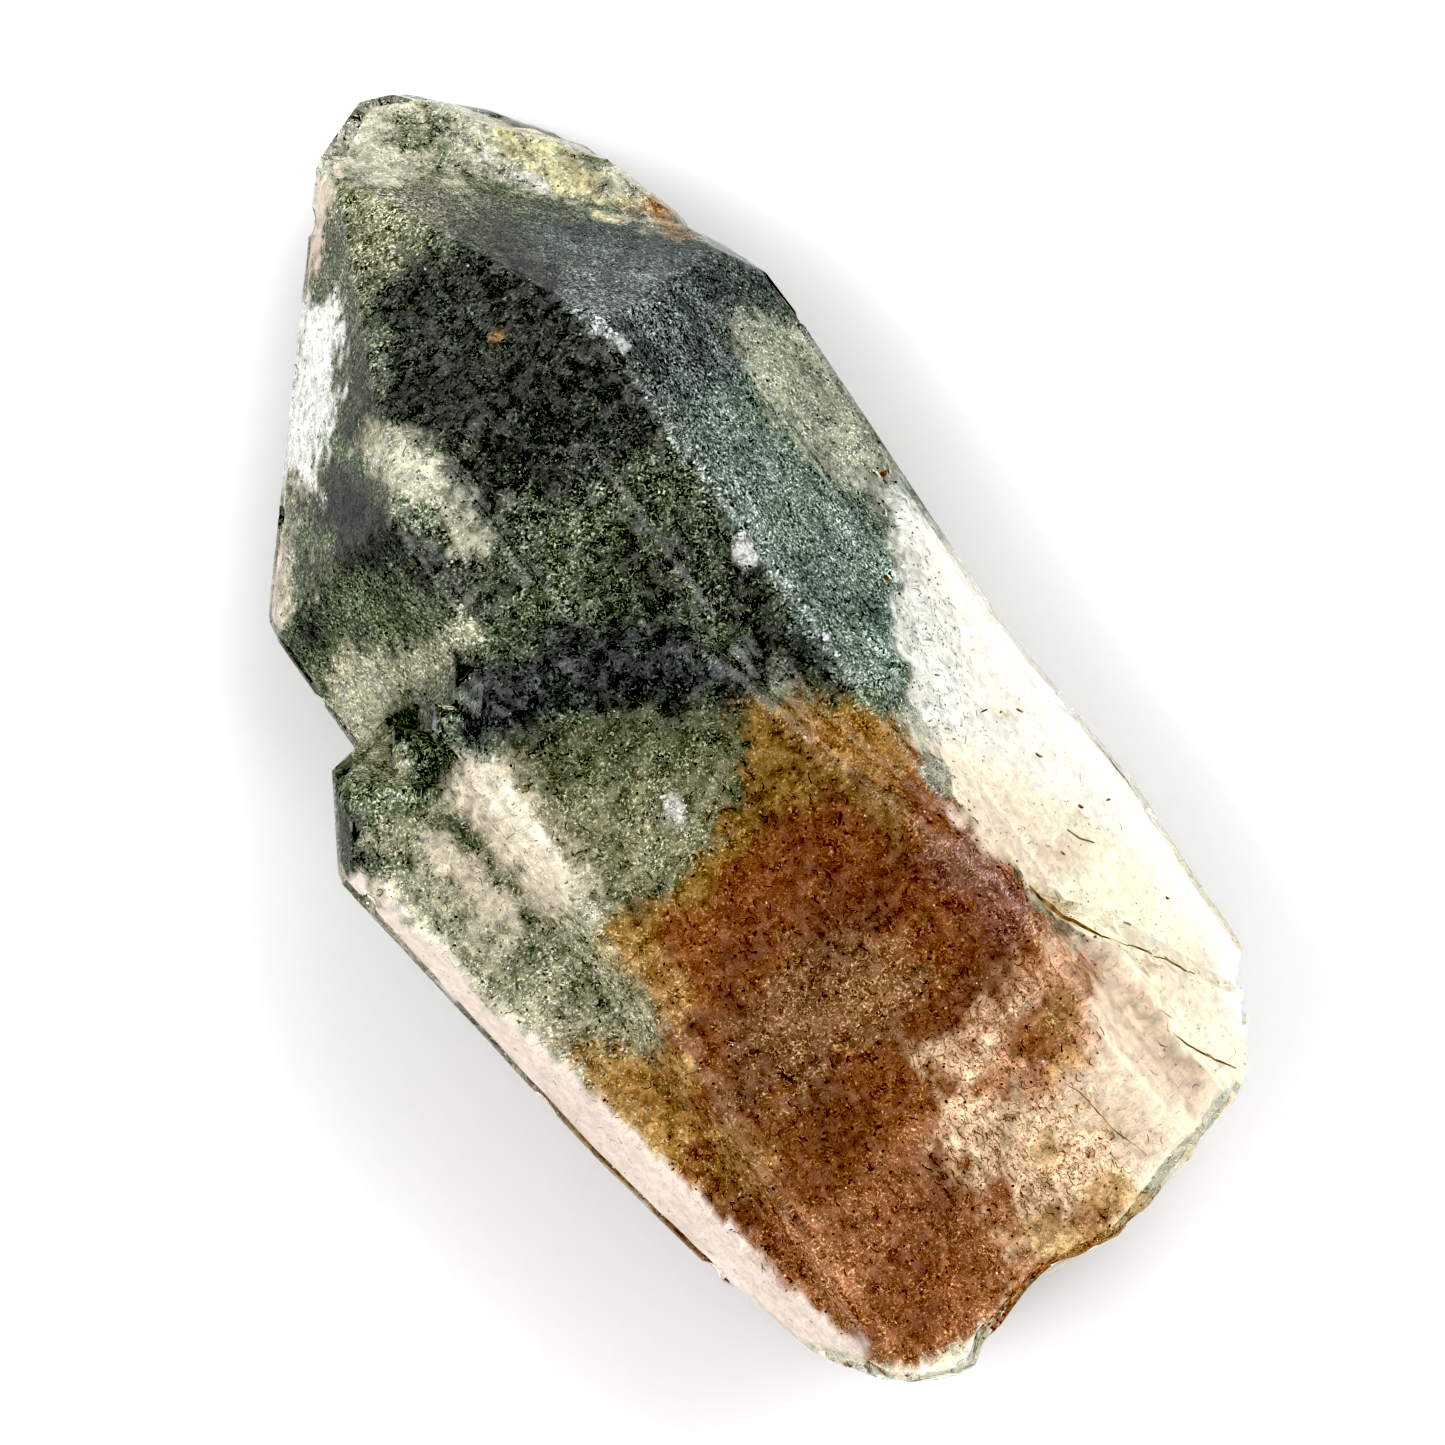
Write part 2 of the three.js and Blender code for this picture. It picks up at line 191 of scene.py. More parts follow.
class Zone(Enum):
    """The kinds of mineral zone."""

    BLACK_MOSS = Mineral((2, 5, 1), (90, 100, 82), 0.36, threads=6, grains=3)
    GREEN_MOSS = Mineral((28, 40, 16), (148, 162, 124), 0.46)
    DEEP_GREEN = Mineral((13, 21, 6), (140, 152, 120), 0.41)
    OLIVE_MOSS = Mineral((64, 62, 30), (206, 206, 168), 0.48)
    SAGE_MOSS = Mineral((54, 60, 30), (160, 164, 128), 0.45, threads=6, grit=0.85)
    PALE_SAGE = Mineral((98, 96, 58), (216, 212, 180), 0.45, threads=6, grit=0.85)
    SLATE_MOSS = Mineral((0, 3, 1), (80, 90, 78), 0.36)
    PEPPER = Mineral((10, 26, 18), (212, 232, 220), 0.42, threads=3, grains=8, lie=0.35)
    DARK_PEPPER = Mineral((3, 12, 6), (134, 154, 140), 0.38, threads=3, grains=6)
    LOW_PEPPER = Mineral((46, 66, 50), (196, 220, 200), 0.44, threads=3, grains=6)
    PALE_PEPPER = Mineral((140, 145, 112), (254, 258, 236), 0.5, threads=2, grains=6, grit=0.85)
    PALE_GREEN = Mineral((184, 182, 146), (264, 264, 250), 0.52, threads=3, grit=0.85)
    CREAM = Mineral((206, 200, 162), (255, 255, 238), 0.6, 0.6, 2, 4, grit=0.75)
    WINDOW = Mineral((264, 242, 208), (274, 264, 240), 0.6, 0.7, 1.5, 2, grit=0.4)
    WHITE = Mineral((294, 291, 278), (300, 300, 294), 0.7, 0.5, 2, 5, grit=0.55)
    STRAW = Mineral((142, 140, 100), (258, 254, 226), 0.5, threads=5, grains=6, grit=0.9)
    PALE_STRAW = Mineral((190, 184, 148), (258, 254, 230), 0.5, threads=4, grains=6, grit=0.85)
    GOLD = Mineral((238, 225, 152), (268, 264, 226), 0.5, threads=2, grit=0.8)
    RUST = Mineral((146, 84, 26), (226, 166, 92), 0.4, threads=2)
    AMBER = Mineral((112, 76, 8), (206, 168, 92), 0.44, grit=0.75)
    OCHRE = Mineral((170, 114, 40), (255, 226, 166), 0.44, grit=0.8)
    BROWN = Mineral((92, 42, 4), (174, 114, 55), 0.42, lie=0.3, grit=0.8)
    DARK_BROWN = Mineral((96, 39, 0), (192, 126, 63), 0.4, lie=0.3, grit=0.8)
    PLUM = Mineral((92, 38, 18), (222, 168, 136), 0.4, lie=0.6, grit=0.85)
    TAN = Mineral((92, 50, 14), (220, 172, 120), 0.46, lie=0.3, grit=0.8)
    LOW_BROWN = Mineral((122, 62, 24), (236, 172, 118), 0.44, lie=0.6, grit=0.85)
    LOW_TAN = Mineral((288, 242, 192), (184, 116, 64), 0.34, threads=6, grains=4, lie=0.6, grit=0.6)
    PEACH = Mineral((254, 222, 186), (262, 240, 210), 0.4, 0.8, 0.4, 0.8, grit=0.25)
    BLUSH = Mineral((236, 208, 184), (255, 244, 228), 0.5, 0.6, 1, 1, grit=0.35)
    MILK = Mineral((272, 268, 250), (286, 284, 270), 0.4, 1.2, 0.2, 0.6, grit=0.15)
    CREAM_MILK = Mineral((274, 258, 220), (284, 274, 246), 0.4, 1.1, 0.3, 0.8, grit=0.2)
    CLEAR_RIM = Mineral((290, 285, 266), (290, 288, 272), 0.4, 0.5, 0.0, 0.1, grit=0.05)
    ROSE_TAN = Mineral((228, 164, 120), (156, 88, 52), 0.36, 0.6, 6, 4, 0.6, 0.7)
    WALL = Mineral((264, 236, 202), (268, 250, 228), 0.4, 0.8, 0.6, 1.0, 0.15, 0.25)
    LEMON_MILK = Mineral((286, 279, 236), (292, 288, 258), 0.4, 1.1, 0.3, 0.8, grit=0.2)
    PINK_MILK = Mineral((274, 244, 218), (285, 268, 250), 0.4, 0.9, 0.3, 0.8, grit=0.3)
    SPECKLED = Mineral((280, 278, 264), (156, 172, 144), 0.16, 0.8, 1.6, 3.6, 0.3, 0.5)
    STAINED = Mineral((250, 226, 180), (176, 112, 48), 0.2, 0.8, 1.4, 2.2, 0.5, 0.5)
    LIT_PEACH = Mineral((300, 262, 218), (300, 280, 246), 0.4, 0.45, 0.3, 0.6, grit=0.3)
    BAND = Mineral((246, 222, 204), (255, 244, 232), 0.3, 0.45, 0.2, 0.4, grit=0.15)


@dataclass(frozen=True)
class Patch:
    """One zone's outline, seen from the front, in mm from the cluster's axis.

    Args:
        zone: The mineral in the outline.
        outline: The outline's corners in order, x and y by turns.
        soft: Half the width of its soft border, mm.
        ragged: How far noise moves its border, mm.
        weight: How much of what lies under it it hides.
        front: Whether it shows on the front alone.
    """

    zone: Zone
    outline: tuple[float, ...]
    soft: float
    ragged: float
    weight: float = 1.0
    front: bool = False

    def corners(self) -> np.ndarray:
        """Return the outline's corners, one to a row."""
        return np.reshape(self.outline, (-1, 2))


PATCHES = (
    # What lies under the other patches
    Patch(Zone.LOW_BROWN, (-20, -11, -12, -7, 12, -7, 12, -40, -20, -40), 0.8, 1.2),
    Patch(Zone.PALE_STRAW, (-21, 4, -17, 3, -15, -11, -14, -16, -21, -16), 0.8, 1.2),
    Patch(Zone.MILK, (10.4, -8, 13, -5, 16, 0, 21, 2.4, 21, -40, 12, -40, 11.6, -20), 0.5, 0.6),
    Patch(Zone.PEACH, (2.6, -25, 10.8, -20.8, 16, -28, 16, -40, 3, -40), 0.8, 1.2),
    # The tall crystal, from its dark heart outwards
    Patch(Zone.DEEP_GREEN, (
        -6.5, 23, -3, 26, -1, 30, 3, 31.5, 8.6, 30, 12.6, 26, 17, 20.5, 19, 17.5, 17.6, 13.5, 14, 9, 12, 3,
        9, -4, 7, -3, 5, 3, 1, 6.6, -5, 8.6, -7, 10.5, -5.6, 14, -5, 18,
    ), 1.4, 1.8),
    Patch(Zone.BLACK_MOSS, (
        -1.2, 25, 0.6, 28.6, 4, 29.6, 8, 28.8, 11.6, 25.6, 15, 21.8, 14.6, 19.6, 10.8, 19.6, 10, 15,
        9, 13.2, 5, 13.2, 1.6, 13.8, -0.4, 15.6, -0.8, 19, -1.8, 22,
    ), 1.8, 1.9),
    Patch(Zone.BLACK_MOSS, (
        2, 6.8, 5.4, 7.4, 8.6, 6.4, 8.8, 2, 8, -2.4, 6.4, 0.4, 4.6, 4.2,
    ), 1.2, 1.4, 0.25),
    Patch(Zone.BLACK_MOSS, (-9.6, 22, -6.4, 23, -5.2, 19, -5, 15.4, -7, 15, -9.4, 18), 1.0, 1.5, 0.95),
    Patch(Zone.BLACK_MOSS, (-14.6, 18.4, -12.4, 19.4, -11.8, 16.8, -13, 14.4, -14.8, 15), 1.0, 1.6, 0.6),
    Patch(Zone.BLACK_MOSS, (-8, 15, -5, 15.6, -3.6, 12.6, -6, 11.6), 1.0, 1.4, 0.6),
    Patch(Zone.PEPPER, (
        9.2, 24, 12, 24.4, 16.4, 20.6, 19.8, 17, 19.8, -2, 15, -2.5, 11.5, -7, 9.5, -3.4, 9, 1, 9.6, 6,
        9.4, 12, 10.6, 17, 9.4, 20,
    ), 0.9, 1.1),
    Patch(Zone.LOW_PEPPER, (10.4, 12, 13.6, 14, 19.8, 13, 19.8, 1, 12, -7, 9.6, -4, 9.8, 3), 1.8, 1.4, 0.8),
    Patch(Zone.PALE_PEPPER, (
        15.4, 15, 17.4, 17, 19.8, 16.4, 19.8, 3.6, 16.8, 3.4, 15.2, 6, 15, 11,
    ), 1.3, 1.6, 0.95),
    Patch(Zone.DARK_PEPPER, (
        8.6, 28.8, 11, 28, 13.8, 25.8, 17.4, 21.4, 19.8, 17.4, 19.2, 14.6, 17.2, 16.4, 14.4, 19, 12, 22.2,
        10, 25,
    ), 1.2, 1.5, 0.95),
    Patch(Zone.SLATE_MOSS, (14.4, 22, 16.6, 21.6, 19.4, 17.6, 18.2, 15.8, 16, 17.4), 1.1, 1.4, 0.25),
    Patch(Zone.DARK_PEPPER, (10.4, 18.4, 13.4, 18, 14.4, 15.6, 13, 12.8, 10.6, 12.8), 1.2, 1.6, 0.75),
    Patch(Zone.OLIVE_MOSS, (
        -2.4, 31.8, 1, 35, 5, 35.8, 8, 35, 9.4, 31.4, 7, 29.6, 3, 29.8, 0, 29.2,
    ), 1.4, 1.9),
    Patch(Zone.OLIVE_MOSS, (2.2, 34.2, 5.4, 34.2, 5.6, 31.8, 2.4, 31.6), 0.6, 1.0, 0.9),
    Patch(Zone.GREEN_MOSS, (
        -7, 8.8, -2, 7.8, 2, 7.4, 6, 9.4, 8.6, 9.8, 8.4, 12, 3, 11.6, -7, 10.2,
    ), 1.0, 1.6, 0.7),
    Patch(Zone.GREEN_MOSS, (-2.4, 31, 0.4, 33.8, 2, 33.4, 0.8, 31, -1.4, 28.6), 0.9, 1.3, 0.8),
    Patch(Zone.CREAM, (
        1, 35.4, 3, 38.4, 6.5, 39.4, 9, 38.4, 10.4, 36.4, 8.6, 33, 9.4, 31, 8.2, 31.4, 6.2, 33.2, 4, 34.6,
        2.6, 34.4,
    ), 0.9, 1.5),
    Patch(Zone.GREEN_MOSS, (7.4, 37, 9, 36.6, 9.6, 34.8, 8.2, 33.6, 7.2, 35), 0.7, 1.3, 0.8),
    Patch(Zone.GREEN_MOSS, (2.6, 36, 4.6, 36.4, 4.4, 35, 3, 34.6), 0.5, 1.0, 0.5),
    Patch(Zone.PALE_GREEN, (
        9, 37.6, 11.4, 35.6, 14.4, 31.8, 16.7, 27, 17.8, 24, 17.8, 21.2, 16.3, 21.8, 14.7, 24.6, 12.4, 27.4,
        9.8, 30.6, 9.2, 33, 9.6, 35,
    ), 0.8, 1.2),
    Patch(Zone.GREEN_MOSS, (9.4, 30.6, 11, 29.8, 11.6, 27.6, 10.2, 28), 0.8, 1.3, 0.7),
    Patch(Zone.GOLD, (
        11, 33, 12.6, 32.6, 14.2, 29, 15.6, 25.2, 14, 25.2, 12.4, 28.4, 11.4, 31,
    ), 0.5, 1.2, 0.95),
    Patch(Zone.WHITE, (10.6, 32, 11.6, 30.6, 12, 28.4, 11, 30), 0.3, 0.8, 0.7),
    Patch(Zone.OCHRE, (14.4, 26, 15.8, 25.4, 16.6, 23, 15.4, 24), 0.5, 1.0, 0.5),
    Patch(Zone.RUST, (16, 24.2, 17.2, 24.6, 17.8, 21.6, 16.6, 21.8), 0.6, 0.9, 0.7),
    Patch(Zone.PALE_STRAW, (
        -14.8, 18.8, -9, 25.4, -5, 28.8, -4.4, 26.6, -7, 24, -9, 22.4, -11.6, 20, -14, 17,
    ), 0.9, 1.9, 0.9),
    Patch(Zone.BLUSH, (
        -15.6, 18, -6.4, 29, 1, 37.2, 2.8, 36, 0.6, 33.8, -3, 30.2, -9, 24, -12.5, 20.2, -14.9, 17.4,
    ), 0.3, 0.8),
    Patch(Zone.WHITE, (
        -9.8, 25.2, -3, 31.4, -1, 30.6, -1.4, 28.8, -3.2, 27, -4.6, 24.8, -7.2, 23.8, -8.6, 22.8,
    ), 0.6, 1.4),
    # Painted shadow: a dark green line along the cream patch's left side
    Patch(Zone.DEEP_GREEN, (
        -6.7, 22.6, -5.8, 22.8, -4.9, 19.6, -4, 16.2, -4.8, 15.8, -6, 19,
    ), 0.4, 0.5, 0.9, True),
    Patch(Zone.CREAM, (
        -5.6, 22.6, -3.8, 23, -2.4, 21.8, -1.8, 19.6, -2.2, 17.6, -1.5, 15.4, -1.5, 13.6, -2.8, 13.4,
        -3.9, 16.2, -4.8, 19.4,
    ), 0.8, 1.1, 0.95, True),
    Patch(Zone.STRAW, (
        -15.6, 13.8, -12, 13.6, -9.4, 12, -6.4, 11.4, -5.6, 10, -8, 9, -12, 9, -13.4, 6.2, -15.6, 7,
    ), 1.0, 1.8),
    Patch(Zone.PALE_STRAW, (-15.6, 12.6, -12.4, 12.6, -10.6, 11, -12.6, 9.8, -15.6, 10), 0.9, 1.5, 0.7),
    Patch(Zone.RUST, (4.7, 23, 5.4, 23, 5.3, 22.5, 4.8, 22.4), 0.25, 0.3, 0.9, True),
    Patch(Zone.WHITE, (9, 20.5, 9.8, 20.6, 10, 19.6, 9.3, 19.4), 0.2, 0.4, 0.9, True),
    Patch(Zone.WHITE, (9.9, 19, 10.6, 18.8, 10.8, 17.9, 10.1, 17.8), 0.2, 0.4, 0.9, True),
    Patch(Zone.WHITE, (8.3, 5.7, 9.3, 5.9, 9.5, 4.8, 8.6, 4.6), 0.25, 0.4, 0.9, True),
    # The short crystal in front
    Patch(Zone.SAGE_MOSS, (
        -12, 5, -9, 5, -3, 3.4, 2, 0.8, 5.4, -1.6, 4, -3, 2, -5, 0, -6.8, -5, -8, -9, -9, -9, -12,
        -10.5, -15, -12, -16, -12.6, -9,
    ), 0.9, 1.3, 1.0, True),
    Patch(Zone.SLATE_MOSS, (
        -13.3, 8.9, -12, 9.4, -8.9, 8.8, -7.3, 9.8, -4.7, 8.3, -3.1, 8.2, 0, 6.7, 1.4, 7, 3.8, 4.6,
        5.2, 2.4, 6.4, 0, 8.8, -4.2, 7, -4, 5.4, -2.2, 3.5, -1, 1, 0.6, -3.5, 2.8, -6, 4, -9, 4.7, -11, 5.6,
        -12.2, 4.9, -13.2, 5,
    ), 1.1, 1.0, 1.0, True),
    Patch(Zone.GREEN_MOSS, (-12.6, 9.4, -9, 9.6, -8.6, 6.8, -10.4, 5, -12.8, 4.6), 0.7, 0.8, 0.7, True),
    Patch(Zone.WINDOW, (
        -12.2, 3.7, -11.3, 4.8, -9.4, 4.4, -7.8, 2.6, -7.4, -1, -8, -4.8, -12.2, -5.8, -11.9, -2,
    ), 1.0, 1.1, 1.0, True),
    Patch(Zone.PALE_SAGE, (-8.4, 2.6, -6.8, 1.4, -5.4, -1, -4.4, -5.6, -8.4, -6), 1.4, 1.4, 0.9, True),
    Patch(Zone.PALE_SAGE, (
        -6.6, -1.6, -2, -2, 1.6, -3.8, -0.6, -6.4, -4, -7, -8, -6.6,
    ), 1.1, 1.5, 0.85, True),
    Patch(Zone.PALE_STRAW, (-12.9, -4.4, -8.4, -4.6, -8, -6.4, -12.6, -7), 0.9, 1.2, 0.8, True),
    Patch(Zone.WHITE, (-3.1, -3.5, -1.8, -3.1, -1.3, -4.5, -2.5, -5), 0.3, 0.6, 0.9, True),
    Patch(Zone.STRAW, (-14.6, 9.4, -13, 9.4, -12.9, 6, -13.6, 5.2, -14.4, 6.4), 0.5, 0.8, 0.8),
    Patch(Zone.PALE_SAGE, (4.8, -1, 6.4, -0.6, 8.6, -4.6, 7, -3.8, 5.4, -2.4), 0.5, 0.9, 0.7, True),
    # The slim crystal on the left
    Patch(Zone.GREEN_MOSS, (
        -19.6, 4.6, -16.6, 9, -13.6, 6.7, -13.2, 4, -15, 2, -17, 2.6, -18.8, 1.4,
    ), 0.9, 1.2),
    Patch(Zone.SLATE_MOSS, (-19.2, 4.8, -17.2, 7.4, -15.6, 6, -17, 4, -18.6, 3.4), 0.9, 1.2, 0.3),
    Patch(Zone.STRAW, (-16.8, 5, -14.6, 5.4, -13.6, 4.2, -14.4, 2.2, -17, 2.2), 0.8, 1.3, 0.8, True),
    Patch(Zone.PALE_STRAW, (
        -17.8, 1.8, -16, 2.4, -13.4, 4.2, -12.5, 0.6, -12.4, -5, -14.5, -7, -16.6, -6, -17.4, -1,
    ), 1.0, 1.6, 0.95, True),
    Patch(Zone.WINDOW, (
        -15, 2.2, -13.6, 3, -12.9, 1, -12.6, -2, -12.7, -4.8, -13.6, -5, -14.6, -1.6,
    ), 0.5, 0.9, 0.95, True),
    Patch(Zone.SAGE_MOSS, (-17.8, 0, -16.4, 0.6, -16, -4, -16.6, -5), 0.8, 1.2, 0.5, True),
    Patch(Zone.STRAW, (-17, -5, -12.8, -5, -12.2, -12, -13.4, -15.4, -15.4, -14, -16.4, -9), 1.0, 1.6, 0.9),
    Patch(Zone.STRAW, (
        -13.6, -4.4, -11.4, -4.8, -9.8, -8, -10, -12.6, -11.4, -15, -13, -12, -13.6, -8,
    ), 0.9, 1.3),
    # Painted shade: a dark green strip along the groove between the slim crystal and the short one
    Patch(Zone.DEEP_GREEN, (
        -13.6, 6.4, -12.9, 5, -12.1, 1, -11.6, -2.6, -11.9, -5.4, -12.3, -5.2, -12, -2.6, -12.5, 0.6,
        -13.1, 3.8,
    ), 0.2, 0.3, 0.4, True),
    # The brown zone
    Patch(Zone.BROWN, (
        -9.4, -7.4, -6, -7.6, -2, -7.4, 0.2, -6, 2.2, -3.6, 4.2, -1.8, 6, -3, 8.4, -5.6, 10.7, -8.2,
        10.4, -11, 10.7, -16, 10.8, -20, 9.8, -22.2, 6, -23.4, 3.6, -24.6, 2, -27, 1.6, -31, 1.4, -36,
        -4, -38.6, -9, -38.6, -12.4, -34, -14, -28, -14.8, -22, -15.4, -16, -13.6, -14, -11.5, -15,
        -9.9, -13, -8.8, -10.4,
    ), 0.8, 1.4),
    Patch(Zone.DARK_BROWN, (
        -8.4, -8.4, -3, -8.2, 1, -8, 5, -8.4, 7, -12, 10.4, -12.5, 10.6, -20.5, 7, -22, 4.8, -19.4,
        3.6, -15.2, 0, -13.6, -4, -13.4, -8, -13,
    ), 1.6, 1.9, 0.85),
    Patch(Zone.AMBER, (
        -9.4, -7, -5, -7.4, -1, -6.8, 1.5, -4.4, 4.2, -1.6, 6.2, -3, 8.8, -5.4, 10.9, -8, 10.2, -10.4,
        8.6, -9.6, 7.4, -12.6, 6.2, -12.4, 5.2, -8, 1, -7.6, -4, -8.8, -8.6, -9,
    ), 1.0, 1.2, 0.9),
    Patch(Zone.RUST, (6.6, -5, 8.6, -6, 10.6, -8.4, 9.8, -10.4, 7.4, -10.2, 6.4, -7.6), 0.8, 1.2, 0.5),
    Patch(Zone.AMBER, (-10.4, -7.4, -8.8, -6.8, -8, -10, -9.4, -13.4, -10.4, -11), 0.9, 1.4, 0.5),
    Patch(Zone.OCHRE, (-9.8, -8.6, -7.2, -8.8, -6.8, -11, -8.2, -13, -9.8, -13.6), 0.9, 1.4, 0.5),
    Patch(Zone.PLUM, (6.9, -14, 10.9, -14, 10.9, -20.8, 7.4, -21.6), 0.9, 1.3, 0.85),
    Patch(Zone.TAN, (
        4.2, -1.6, 4.7, -1.6, 7.3, -9.5, 9.2, -17.8, 8.6, -17.8, 6.7, -9.5,
    ), 0.2, 0.3, 0.7, True),
    Patch(Zone.TAN, (
        -9.6, -14.6, -4, -14.4, 1, -14.6, 3.6, -16, 3.4, -19.6, -1, -21, -6, -20.4, -10, -19,
    ), 1.5, 2.2, 0.85),
    Patch(Zone.OCHRE, (
        -14.5, -11.8, -13.4, -12.4, -11.4, -14.4, -9.8, -15.6, -11, -19, -13, -21.5, -15, -20,
    ), 1.1, 1.6, 0.95),
    Patch(Zone.LOW_BROWN, (
        -14, -24.6, -8, -25.4, 0, -25.4, 2, -27, 1.8, -36.6, -4, -38.4, -9, -37.4, -12.6, -33,
    ), 1.5, 2.0, 0.9),
    Patch(Zone.DARK_BROWN, (-10.6, -31.6, -4, -31, -3.4, -35.8, -8, -37, -10.4, -35), 1.4, 2.0, 0.6),
    Patch(Zone.OCHRE, (-13.4, -19.6, -9.4, -20, -9, -23, -12.8, -24), 1.2, 1.8, 0.4),
    # The clear lower right
    Patch(Zone.PEACH, (
        2.4, -39, 3, -34, 3.6, -30, 3.4, -27, 3.4, -24.8, 6, -22.8, 9.5, -22, 10.9, -21, 12.4, -24,
        14.4, -27.4, 15.8, -28.6, 15.6, -30.6, 14.4, -34, 12, -37, 6, -39,
    ), 0.8, 1.6),
    Patch(Zone.LOW_TAN, (
        0.2, -25.8, 2.8, -25.4, 5, -27.8, 6.6, -30, 6.2, -33, 5.6, -37.4, -1.8, -36.6, -0.4, -33,
        -1.6, -29.6,
    ), 0.9, 2.8, 0.95),
    Patch(Zone.LOW_TAN, (
        0.6, -22.6, 4.6, -21.8, 9.4, -21.6, 8.4, -23.2, 5, -24.2, 2, -25.6,
    ), 0.9, 1.6, 0.85, True),
    Patch(Zone.ROSE_TAN, (
        2.4, -23.4, 6, -21.6, 11, -21, 11.2, -24.6, 9.6, -27, 8.4, -28.6, 4, -28.4, 2, -27,
    ), 0.8, 1.6, 0.95, True),
    Patch(Zone.LOW_TAN, (
        1.2, -25, 3, -23.8, 6.4, -23.1, 6.8, -24, 4.6, -24.6, 3.6, -26, 1.4, -26.2,
    ), 0.6, 1.6, 0.9, True),
    Patch(Zone.BROWN, (
        4.3, -25.2, 6, -24.6, 7.6, -24.8, 9.4, -24.6, 9, -25.6, 7.8, -26.2, 7.6, -27.2, 7, -27.8,
        5.6, -27.4, 4.6, -27.2,
    ), 0.4, 1.3, 0.85, True),
    Patch(Zone.BROWN, (2.7, -26.2, 3.8, -25.8, 4, -27.2, 3.6, -28.2, 2.9, -27.8), 0.3, 0.9, 0.85, True),
    Patch(Zone.DARK_BROWN, (4.6, -25.2, 7, -25, 7, -26.4, 5.4, -26.8), 0.5, 1.0, 0.7, True),
    Patch(Zone.TAN, (9, -24.8, 10.6, -24.2, 11, -25.2, 9.6, -25.8), 0.4, 1.0, 0.6, True),
    Patch(Zone.OCHRE, (5.6, -27, 8.3, -26.8, 8, -28.2, 5.8, -28.3), 0.4, 1.0, 0.7, True),
    Patch(Zone.OCHRE, (7, -25.4, 9.3, -25, 9, -26.6, 7.2, -26.8), 0.4, 1.0, 0.5, True),
    Patch(Zone.OCHRE, (2.2, -30.4, 3.6, -30.2, 3.8, -31.6, 2.4, -31.8), 0.5, 1.2, 0.6),
    Patch(Zone.OCHRE, (-0.6, -33.8, 2.4, -34.4, 5.4, -34.8, 5.6, -37.6, 0.2, -38), 0.7, 1.7, 0.75),
    Patch(Zone.BROWN, (1.4, -34.6, 3.4, -35, 4.4, -36.4, 1.4, -36.8), 0.6, 1.4, 0.6),
    Patch(Zone.CREAM_MILK, (
        10.6, -8.4, 12.4, -8, 14.6, -9, 15.4, -14, 17, -19, 18.4, -24, 19, -29, 17.4, -33, 15, -36,
        13.6, -33.6, 12.8, -31.6, 12.2, -30.2, 12.6, -28, 14.2, -26.4, 12.4, -23.6, 11.1, -21, 10.8, -19,
        10.9, -15, 10.7, -11,
    ), 0.4, 0.5),
    Patch(Zone.WALL, (
        10.4, -8.6, 12, -8.8, 12.6, -12, 13.2, -15, 13.8, -18, 12.8, -19.6, 11.6, -19.4, 10.6, -18.6,
    ), 0.8, 1.2, 0.85),
    Patch(Zone.PEACH, (
        11.2, -20.6, 12.6, -23.6, 14.4, -26.4, 15.2, -28, 12.4, -28.4, 11.6, -25.6, 11, -22,
    ), 0.4, 0.6, 0.6),
    Patch(Zone.MILK, (
        11.8, -8.8, 13, -5, 14.2, -2.6, 15.4, -1.2, 17, 0.4, 18.4, 1.6, 20, 2.4, 20, -28, 17.4, -22,
        15.6, -17, 14.6, -13, 13, -10,
    ), 0.9, 1.4),
    Patch(Zone.LEMON_MILK, (
        11.2, -19.4, 14, -19.6, 17, -19.4, 18.4, -22, 17.8, -26, 15.8, -28.4, 14.2, -25.4, 12.4, -22,
    ), 0.9, 1.2, 0.9),
    Patch(Zone.LEMON_MILK, (
        12.6, -29, 14.8, -29.4, 16, -31, 15.4, -34, 13.8, -34.4, 13, -31.6,
    ), 0.7, 1.0, 0.7),
    Patch(Zone.PINK_MILK, (15.6, -28, 18.2, -26, 20, -27, 18.6, -31.6, 16, -31), 0.6, 1.2, 0.9),
    Patch(Zone.SPECKLED, (
        11, -9, 12.6, -10.4, 14.8, -9.4, 16, -6, 17.4, -3, 18.6, -0.6, 18.6, 1.6, 15.4, -0.8, 13, -4.8,
    ), 1.0, 1.4, 0.8),
    Patch(Zone.PALE_PEPPER, (10.6, -6.8, 11.8, -7, 11.8, -9, 10.8, -9.2), 0.5, 1.0, 0.7),
    Patch(Zone.PALE_PEPPER, (16, 0.2, 18.8, 2, 18.6, -0.6, 17, -1.6), 0.6, 1.4, 0.5),
    # Painted shadow: a dark green-grey strip along the left side of the ledge crack
    Patch(Zone.GREEN_MOSS, (
        10.3, -19.4, 10.8, -19.6, 12, -22.8, 11.5, -23.2, 10.6, -21.6,
    ), 0.3, 0.5, 0.5, True),
    Patch(Zone.LIT_PEACH, (
        11.4, -21.2, 12.8, -23.8, 14.6, -26.6, 15, -28, 12.6, -28.2, 11.8, -25.6,
    ), 0.5, 0.6, 0.6),
    Patch(Zone.PEACH, (12.4, -17.6, 14.6, -17.2, 15, -19.2, 14.6, -20.6, 13, -19.2), 0.5, 1.0, 0.6),
    Patch(Zone.STAINED, (15, -9.4, 16.2, -10, 16.4, -11.4, 15.6, -11), 0.3, 0.9, 0.5),
    Patch(Zone.STAINED, (15.2, -16.6, 15.9, -16.6, 16.2, -17.6, 15.6, -17.6), 0.3, 0.7, 0.5),
    Patch(Zone.OCHRE, (11, -19, 11.7, -19.2, 12.2, -21.2, 11.8, -21.4, 11.2, -20.2), 0.2, 0.5, 0.5),
    Patch(Zone.LOW_PEPPER, (10, -9.6, 11, -10, 11.5, -11.4, 10.9, -12.6, 10.1, -12), 0.4, 0.7, 0.7),
    Patch(Zone.CLEAR_RIM, (
        17.4, 1.6, 21, 2.6, 21, -36, 16.4, -36, 15.6, -33, 17, -28, 17.4, -12, 17, -2,
    ), 1.4, 0.4),
